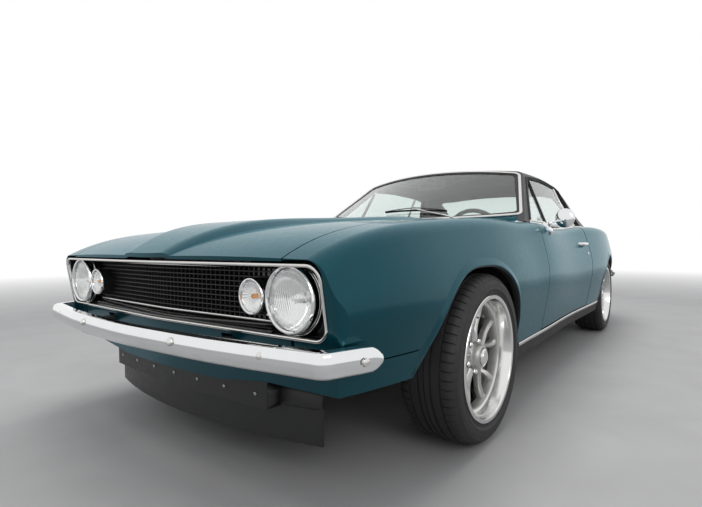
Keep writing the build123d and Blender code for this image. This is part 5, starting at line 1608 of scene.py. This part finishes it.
# Front suspension and steering
turns = []
for k in range(181):
    t = 2 * pi * 4.6 * k / 180
    turns.append((0.515 + 0.046 * math.cos(t), FRONT_AXLE + 0.046 * math.sin(t), 0.247 + 0.18 * k / 180))
coil = Shape().tube(turns, 0.0068, 10)
pair(coil, "front_coil_spring", black_satin)
pair(damper((0.515, FRONT_AXLE, 0.246), (0.515, FRONT_AXLE, 0.427), 0.021), "front_shock", steel)
link = Shape()
link.tube([(0.47, -1.52, 0.262), (0.46, -1.64, 0.225), (0.4, -1.72, 0.222), (0, -1.73, 0.222)], 0.0115, 16,
    corner=0.04)
piece(both(link), "stabiliser_bar", steel)
rods = Shape()
rods.tube([(-0.3, -1.245, 0.222), (0.3, -1.245, 0.222)], 0.013, 16)
for s in (-1, 1):
    rods.tube([(s * 0.3, -1.245, 0.222), (s * 0.56, -1.275, 0.228)], 0.01, 14)
    rods.lathe((s * 0.3, -1.245, 0.222), Z_AXIS, mm(0, -20, 16, -18, 18, 0, 16, 18, 0, 20), 24)
piece(rods, "tie_rods", steel)
tank_straps = Shape()
for x in (-0.19, 0.19):
    tank_straps.sweep(rounded([(x, 1.532, 0.428), (x, 1.532, 0.2575), (x, 2.088, 0.2575), (x, 2.088, 0.428)],
        0.018, 0.25), bar_section(0.032, 0.003, 0.001, -0.0005), X_AXIS)
seam_line = rounded([(-0.345, 1.525, 0.345), (0.345, 1.525, 0.345), (0.345, 2.095, 0.345),
    (-0.345, 2.095, 0.345)], 0.02, 0.2, True)
tank_straps.sweep(seam_line, bar_section(0.034, 0.004, 0.001, -0.002), closed=True)
tank_straps.lathe((0.1, 1.7, 0.262), (0, 0, -1), mm(0, 6, 11, 6, 12, 2, 18, 1, 18, -2), 6)
piece(tank_straps, "fuel_tank_straps", steel)

# Engine bay
covers, cover_trim = Shape(), Shape()
for s in (-1, 1):
    m_c = Matrix.Translation((s * 0.15, -1.53, 0.735)) @ turn(s * 22, "Y")
    covers.block((-0.06, -0.265, -0.04), (0.06, 0.265, 0.034), 0.014, m_c, 3)
    covers.block((-0.068, -0.275, -0.044), (0.068, 0.275, -0.034), 0.003, m_c)
    for k in range(7):
        x = -0.036 + 0.012 * k
        cover_trim.block((x - 0.002, -0.215, 0.0325), (x + 0.002, 0.215, 0.0375), 0.001, m_c)
    for y in (-0.24, -0.08, 0.08, 0.24):
        for side in (-0.062, 0.062):
            cover_trim.join(Shape().lathe((side, y, -0.036), Z_AXIS, mm(0, 12, 6, 12, 7.5, 4, 7.5, 0),
                12).moved(m_c))
    cover_trim.join(Shape().lathe((0, -0.19 * s, 0.034), Z_AXIS,
        mm(0, 26, 20, 25, 24, 20, 24, 8, 14, 4, 14, -2), 32).moved(m_c))
piece(covers, "valve_covers", polished)
piece(cover_trim, "valve_cover_ribs", black_satin)
cleaner = Shape().lathe((0, -1.5, 0.752), Z_AXIS, mm(0, -30, 60, -30, 66, 0, 165, 2, 172, 6, 172, 14, 160, 18,
    160, 48, 172, 52, 172, 58, 164, 64, 50, 68, 16, 66, 14, 74, 0, 76), 96)
piece(cleaner, "air_cleaner", bright)
filter_ring = Shape()
for k in range(90):
    t = 2 * pi * k / 90
    d = Vector((math.cos(t), math.sin(t), 0))
    at = Vector((0, -1.5, 0)) + d * 0.1595
    filter_ring.sweep([at + Vector((0, 0, 0.771)), at + Vector((0, 0, 0.799))],
        bar_section(0.004, 0.006, 0.0005, -0.003), d)
piece(filter_ring, "air_filter", finish_of("paper_filter", "black_trim", (0.45, 0.38, 0.26), 0.8, 0, (0.8, 0.9),
    80, 0.4))
manifold = Shape().block((-0.085, -1.76, 0.7), (0.085, -1.27, 0.735), 0.012)
for k in range(4):
    for s in (-1, 1):
        y = -1.7 + 0.125 * k
        manifold.tube([(s * 0.03, y + 0.02, 0.735), (s * 0.075, y + 0.01, 0.752), (s * 0.118, y, 0.7)],
            (0.022, 0.016), 16, Y_AXIS, 0.03, step=0.25)
        manifold.tube([(s * 0.215, y, 0.62), (s * 0.262, y, 0.61), (s * 0.275, y + 0.05, 0.54)], 0.019, 16,
            Y_AXIS, 0.03, step=0.25)
for s in (1, -1):
    manifold.tube([(s * 0.276, -1.72, 0.53), (s * 0.276, -1.2, 0.515)], 0.026, 20)
piece(manifold, "manifolds", cast)
front_drive, belts_s = Shape(), Shape()
for x, z, r in ((0, 0.43, 0.085), (0, 0.6, 0.07), (0.19, 0.64, 0.045), (-0.185, 0.56, 0.06)):
    front_drive.lathe((x, -1.882, z), (0, -1, 0), [(0, 0.036), (r * 0.25, 0.036), (r * 0.3, 0.02),
        (r * 0.85, 0.016), (r, 0.026), (r * 0.93, 0.017), (r * 0.93, 0.013), (r, 0.004), (r * 0.5, 0), (0, 0)],
        48)
front_drive.lathe((0.205, -1.79, 0.64), (0, -1, 0), mm(0, -75, 55, -70, 63, -55, 63, 55, 55, 70, 0, 75), 40)
piece(front_drive, "pulleys_and_alternator", steel)
for loop in (mm(-72, 600, 72, 600, 86, 420, 0, 343, -86, 420),
             mm(0, 515, 85, 435, 238, 640, 190, 690, 145, 650)):
    belts_s.sweep(rounded([(x, -1.9, z) for x, z in loop], 0.035, 0.25, True),
        bar_section(0.009, 0.008, 0.001, -0.004), Y_AXIS, closed=True)
piece(belts_s, "drive_belts", rubber)
fan = Shape().lathe((0, -1.925, 0.6), (0, -1, 0), mm(0, 24, 30, 22, 40, 12, 42, 0, 0, 0), 40)
for k in range(6):
    t = 2 * pi * k / 6
    hub_m = Matrix.Translation((0, -1.94, 0.6)) @ Matrix.Rotation(t, 4, "Y")
    blade_m = hub_m @ Matrix.Translation((0, 0, 0.105)) @ turn(24, "Z")
    outline = rounded([(-0.024, -0.072, 0), (0.024, -0.072, 0), (0.036, 0.062, 0), (-0.036, 0.062, 0)], 0.012,
        0.3, True)
    fan.slab(outline, 0.0022, blade_m @ turn(90))
piece(fan, "cooling_fan", black_satin)
core = Shape()
for k in range(42):
    z = 0.345 + 0.0085 * k
    core.sweep([(-0.3, -2.018, z), (0.3, -2.018, z)], bar_section(0.0026, 0.004, 0.0004, -0.001), Y_AXIS)
for k in range(24):
    x = -0.29 + 0.0252 * k
    core.block((x - 0.0025, -2.0155, 0.342), (x + 0.0025, -2.0135, 0.702), 0)
core.block((-0.325, -2.078, 0.708), (0.325, -2.014, 0.744), 0.01)
core.block((-0.325, -2.078, 0.302), (0.325, -2.014, 0.338), 0.01)
core.lathe((-0.18, -2.046, 0.742), Z_AXIS, mm(0, 24, 18, 23, 24, 18, 26, 8, 16, 4, 16, -4), 36)
piece(core, "radiator_core", black_satin)
hoses = Shape()
hose_runs = ((0.021, 20, 0.05, [(0.2, -2.025, 0.69), (0.2, -1.96, 0.7), (0.06, -1.9, 0.742),
    (0.02, -1.79, 0.745)]), (0.021, 20, 0.04, [(-0.22, -2.025, 0.38), (-0.22, -1.975, 0.375),
    (-0.12, -1.93, 0.48), (-0.11, -1.87, 0.5)]), (0.01, 14, 0.05,
    [(-0.08, -1.28, 0.72), (-0.15, -1.2, 0.76), (-0.18, -1, 0.72), (-0.18, -0.912, 0.7)]),
    (0.01, 14, 0.05, [(-0.05, -1.28, 0.72), (-0.12, -1.19, 0.74), (-0.23, -1.01, 0.69), (-0.23, -0.912, 0.67)]))
for radius, sides, corner, route in hose_runs:
    hoses.tube(route, radius, sides, corner=corner)
for s in (-1, 1):
    for k in range(4):
        y = -1.7 + 0.125 * k
        hoses.tube([(s * 0.238, y + 0.03, 0.665), (s * 0.262, y + 0.03, 0.735),
            (s * 0.12, -1.34 + 0.01 * k, 0.812), (s * 0.03, -1.275, 0.8)], 0.0042, 8, (0, 0.3, 1), 0.03,
            step=0.3)
piece(hoses, "coolant_and_ignition_runs", rubber)
ignition = Shape().lathe((0, -1.25, 0.715), Z_AXIS, mm(36, 0, 36, 45, 46, 50, 46, 70, 40, 85, 12, 94, 0, 94),
    40)
piece(ignition, "distributor", black_gloss)
battery = Shape()
battery.block((0.258, -1.99, 0.47), (0.438, -1.72, 0.655), 0.006)
battery.block((0.256, -1.992, 0.655), (0.44, -1.718, 0.672), 0.003)
for x, y in ((0.29, -1.945), (0.29, -1.765)):
    battery.lathe((x, y, 0.672), Z_AXIS, mm(0, 18, 8, 18, 10, 0), 20)
for k in range(6):
    battery.lathe((0.385, -1.96 + 0.042 * k, 0.672), Z_AXIS, mm(0, 6, 10, 6, 12, 0), 20)
piece(battery, "battery", black_satin)
tray = Shape().block((0.25, -2, 0.455), (0.446, -1.712, 0.468), 0.003)
tray.sweep(rounded([(0.262, -1.85, 0.468), (0.262, -1.85, 0.679), (0.434, -1.85, 0.679), (0.434, -1.85, 0.468)],
    0.006, 0.3), bar_section(0.018, 0.002, 0.0005, -0.0005), Y_AXIS)
piece(tray, "battery_tray", steel)
brake = Shape().lathe((0.33, -0.912, 0.65), (0, -1, 0), mm(0, 0, 90, 0, 108, 20, 112, 45, 108, 60, 112, 64, 98,
    90, 50, 110, 26, 114, 0, 114), 64)
piece(brake, "brake_booster", bright)
master = Shape().lathe((0.33, -1.02, 0.65), (0, -1, 0), mm(0, 0, 26, 0, 26, 170, 18, 178, 0, 180), 32)
master.block((0.295, -1.18, 0.668), (0.365, -1.05, 0.71), 0.008)
master.block((0.29, -1.186, 0.71), (0.37, -1.044, 0.722), 0.004)
piece(master, "brake_master_cylinder", cast)
apron_ribs = Shape()
for y in (-1.98, -1.82, -1.66, -1.22, -1.06):
    apron_ribs.block((0.441, y - 0.012, 0.42), (0.4525, y + 0.012, 0.7), 0.004)
piece(both(apron_ribs), "apron_ribs", underbody)

# Undersides of the hood and the trunk lid
def brace(node, name, runs, width, height):
    """Pressed ribs along (x, y) runs on the underside of a lid."""
    tree = surface(node)
    s = Shape()
    for (x0, y0), (x1, y1) in runs:
        pts = []
        for k in range(25):
            at = tree.ray_cast(Vector((x0 + (x1 - x0) * k / 24, y0 + (y1 - y0) * k / 24, 0.45)),
                Vector(Z_AXIS))[0]
            if at:
                pts.append(at)
        if len(pts) > 2:
            s.sweep(smooth_line(pts, 2), bar_section(width, height, 0.004, -height + 0.001))
    piece(s, name, black_satin, node)


brace("hood", "hood_bracing", [
    ((-0.6, -1.06), (0.6, -1.06)), ((-0.52, -2.02), (0.52, -2.02)), ((-0.62, -1.06), (-0.54, -2.02)),
    ((0.62, -1.06), (0.54, -2.02)), ((-0.6, -1.08), (0, -1.98)), ((0.6, -1.08), (0, -1.98))], 0.045, 0.012)
brace("trunk_lid", "trunk_lid_bracing", [
    ((-0.56, 1.64), (0.56, 1.64)), ((-0.54, 2.16), (0.54, 2.16)), ((-0.56, 1.64), (-0.54, 2.16)),
    ((0.56, 1.64), (0.54, 2.16)), ((-0.2, 1.64), (-0.2, 2.16)), ((0.2, 1.64), (0.2, 2.16))], 0.05, 0.01)
boot_mat = Shape().block((-0.56, 1.06, 0.4435), (0.56, 2.14, 0.4495), 0.002)
for k in range(26):
    y = 1.1 + 0.04 * k
    boot_mat.block((-0.545, y - 0.008, 0.4485), (0.545, y + 0.008, 0.4515), 0.001)
piece(boot_mat, "trunk_mat", rubber)

# Inner fenders over the front wheels
fender_skin = surface("fenders front_valance")
liner = []
wheel_line = denser(rounded([(0, -1.028, 0.345), (0, -1.028, 0.716), (0, -1.705, 0.716), (0, -1.935, 0.432)],
                            [0, 0.36, 0.35, 0], 0.08), 0.04)
for p in wheel_line:
    at, _ = on_side(p.y, p.z, 0, fender_skin)
    outer = min(at.x - 0.016, 0.88)
    liner.append([Vector((0.4535, p.y, p.z)), Vector((0.46, p.y, p.z + 0.001))] +
        [Vector((0.46 + (outer - 0.46) * j / 8, p.y, p.z + 0.0025 * math.sin(pi * 4 * j / 8) ** 2))
        for j in range(1, 9)])
pair(Shape().grid(liner), "inner_fender", underbody, angle=50, thick=0.003)

# Floor beside the trunk mat, out to the body sides
side_floor = []
side_walls = surface("quarter_panels rear_wheelhouses rear_valance")
for k in range(49):
    y = 1 + 1.2 * k / 48
    at = side_walls.ray_cast(Vector((0.56, y, 0.452)), Vector(X_AXIS))[0]
    outer = min(at.x, 0.86) - 0.004 if at else 0.8
    side_floor.append([Vector((0.575, y, 0.444)), Vector((0.592, y, 0.4445))] +
        [Vector((0.592 + (max(outer, 0.6) - 0.592) * j / 4, y, 0.4445 + 0.003 * (j / 4))) for j in range(1, 5)])
pair(Shape().grid(side_floor), "trunk_side_floor", carpet, angle=50, thick=0.003)

# Radiator support out to the fenders
support = []
for k in range(13):
    x = 0.455 + 0.36 * k / 12
    support.append([Vector((x, -2.06, 0.33 + 0.05 * (k / 12))), Vector((x, -2.066, 0.46)),
        Vector((x, -2.06, 0.6)), Vector((x, -2.064, 0.672 - 0.01 * (k / 12))),
        Vector((x, -2.046, 0.676 - 0.01 * (k / 12)))])
pair(Shape().grid(support), "radiator_support", underbody, angle=50, thick=0.003)

# Floor and soft light
floor_mesh = bpy.data.meshes.new("floor")
floor_mesh.from_pydata([(-80, -80, 0), (80, -80, 0), (80, 80, 0), (-80, 80, 0)], [], [(0, 1, 2, 3)])
floor = bpy.data.objects.new("floor", floor_mesh)
scene.collection.objects.link(floor)
pale, nt, b = tree_of("pale_floor")
v = coords(nt)
floor_tone = ramp(nt, noise(nt, v, 3), ((0.3, (0.335, 0.33, 0.325)), (0.7, (0.365, 0.36, 0.355))))


def backdrop_rays(nt):
    """One where the ray is a camera, glossy or transmission ray."""
    path = nt.nodes.new("ShaderNodeLightPath")
    value = path.outputs["Is Camera Ray"]
    for kind in ("Is Glossy Ray", "Is Transmission Ray"):
        either = add_node(nt, "ShaderNodeMath", operation="MAXIMUM")
        nt.links.new(value, either.inputs[0])
        nt.links.new(path.outputs[kind], either.inputs[1])
        value = either.outputs["Value"]
    return value


nt.links.new(floor_tone, b.inputs["Base Color"])
b.inputs["Roughness"].default_value = 0.8
bump(nt, b, noise(nt, v, 60, 3), 0.1, 0.002)
far = add_node(nt, "ShaderNodeVectorMath", operation="LENGTH")
nt.links.new(v, far.inputs[0])
fade = add_node(nt, "ShaderNodeMapRange")
fade.inputs["From Min"].default_value = 4.5
fade.inputs["From Max"].default_value = 13
nt.links.new(far.outputs["Value"], fade.inputs["Value"])
seen = add_node(nt, "ShaderNodeMath", operation="MULTIPLY")
nt.links.new(fade.outputs["Result"], seen.inputs[0])
nt.links.new(backdrop_rays(nt), seen.inputs[1])
white = add_node(nt, "ShaderNodeEmission", Color=(1, 1, 1, 1), Strength=1)
mix = nt.nodes.new("ShaderNodeMixShader")
nt.links.new(seen.outputs["Value"], mix.inputs["Fac"])
nt.links.new(b.outputs["BSDF"], mix.inputs[1])
nt.links.new(white.outputs["Emission"], mix.inputs[2])
nt.links.new(mix.outputs["Shader"], nt.nodes["Material Output"].inputs["Surface"])
floor_mesh.materials.append(pale)

world = bpy.data.worlds.new("soft_sky")
scene.world = world
world.use_nodes = True
wt = world.node_tree
geo = wt.nodes.new("ShaderNodeTexCoord")
split = wt.nodes.new("ShaderNodeSeparateXYZ")
wt.links.new(geo.outputs["Generated"], split.inputs["Vector"])
sky = ramp(wt, split.outputs["Z"], ((0, (0.045, 0.05, 0.05)), (0.12, (0.08, 0.085, 0.09)),
    (0.2, (0.5, 0.52, 0.54)), (0.55, (0.92, 0.95, 1))))
background = wt.nodes["Background"]
wt.links.new(sky, background.inputs["Color"])
background.inputs["Strength"].default_value = 0.8
plain = add_node(wt, "ShaderNodeBackground", Color=(1, 1, 1, 1), Strength=1)
which = wt.nodes.new("ShaderNodeMixShader")
wt.links.new(backdrop_rays(wt), which.inputs["Fac"])
wt.links.new(background.outputs["Background"], which.inputs[1])
wt.links.new(plain.outputs["Background"], which.inputs[2])
wt.links.new(which.outputs["Shader"], wt.nodes["World Output"].inputs["Surface"])


def softbox(name, at, aim, size, power, shiny):
    """Soft lamp that isn't seen itself; shiny says whether metal reflects it."""
    d = bpy.data.lights.new(name, "AREA")
    d.shape = "RECTANGLE"
    d.size, d.size_y = size
    d.energy = power
    o = bpy.data.objects.new(name, d)
    scene.collection.objects.link(o)
    o.location = at
    o.rotation_euler = (Vector(aim) - Vector(at)).to_track_quat("-Z", "Y").to_euler()
    o.visible_camera = False
    o.visible_glossy = shiny
    o.visible_transmission = False


softbox("overhead", (0, 0, 6), (0, 0, 0), (3.2, 7), 300, False)
softbox("front_left", (5.5, -5, 4.2), (0, -0.5, 0.5), (4, 3), 110, True)
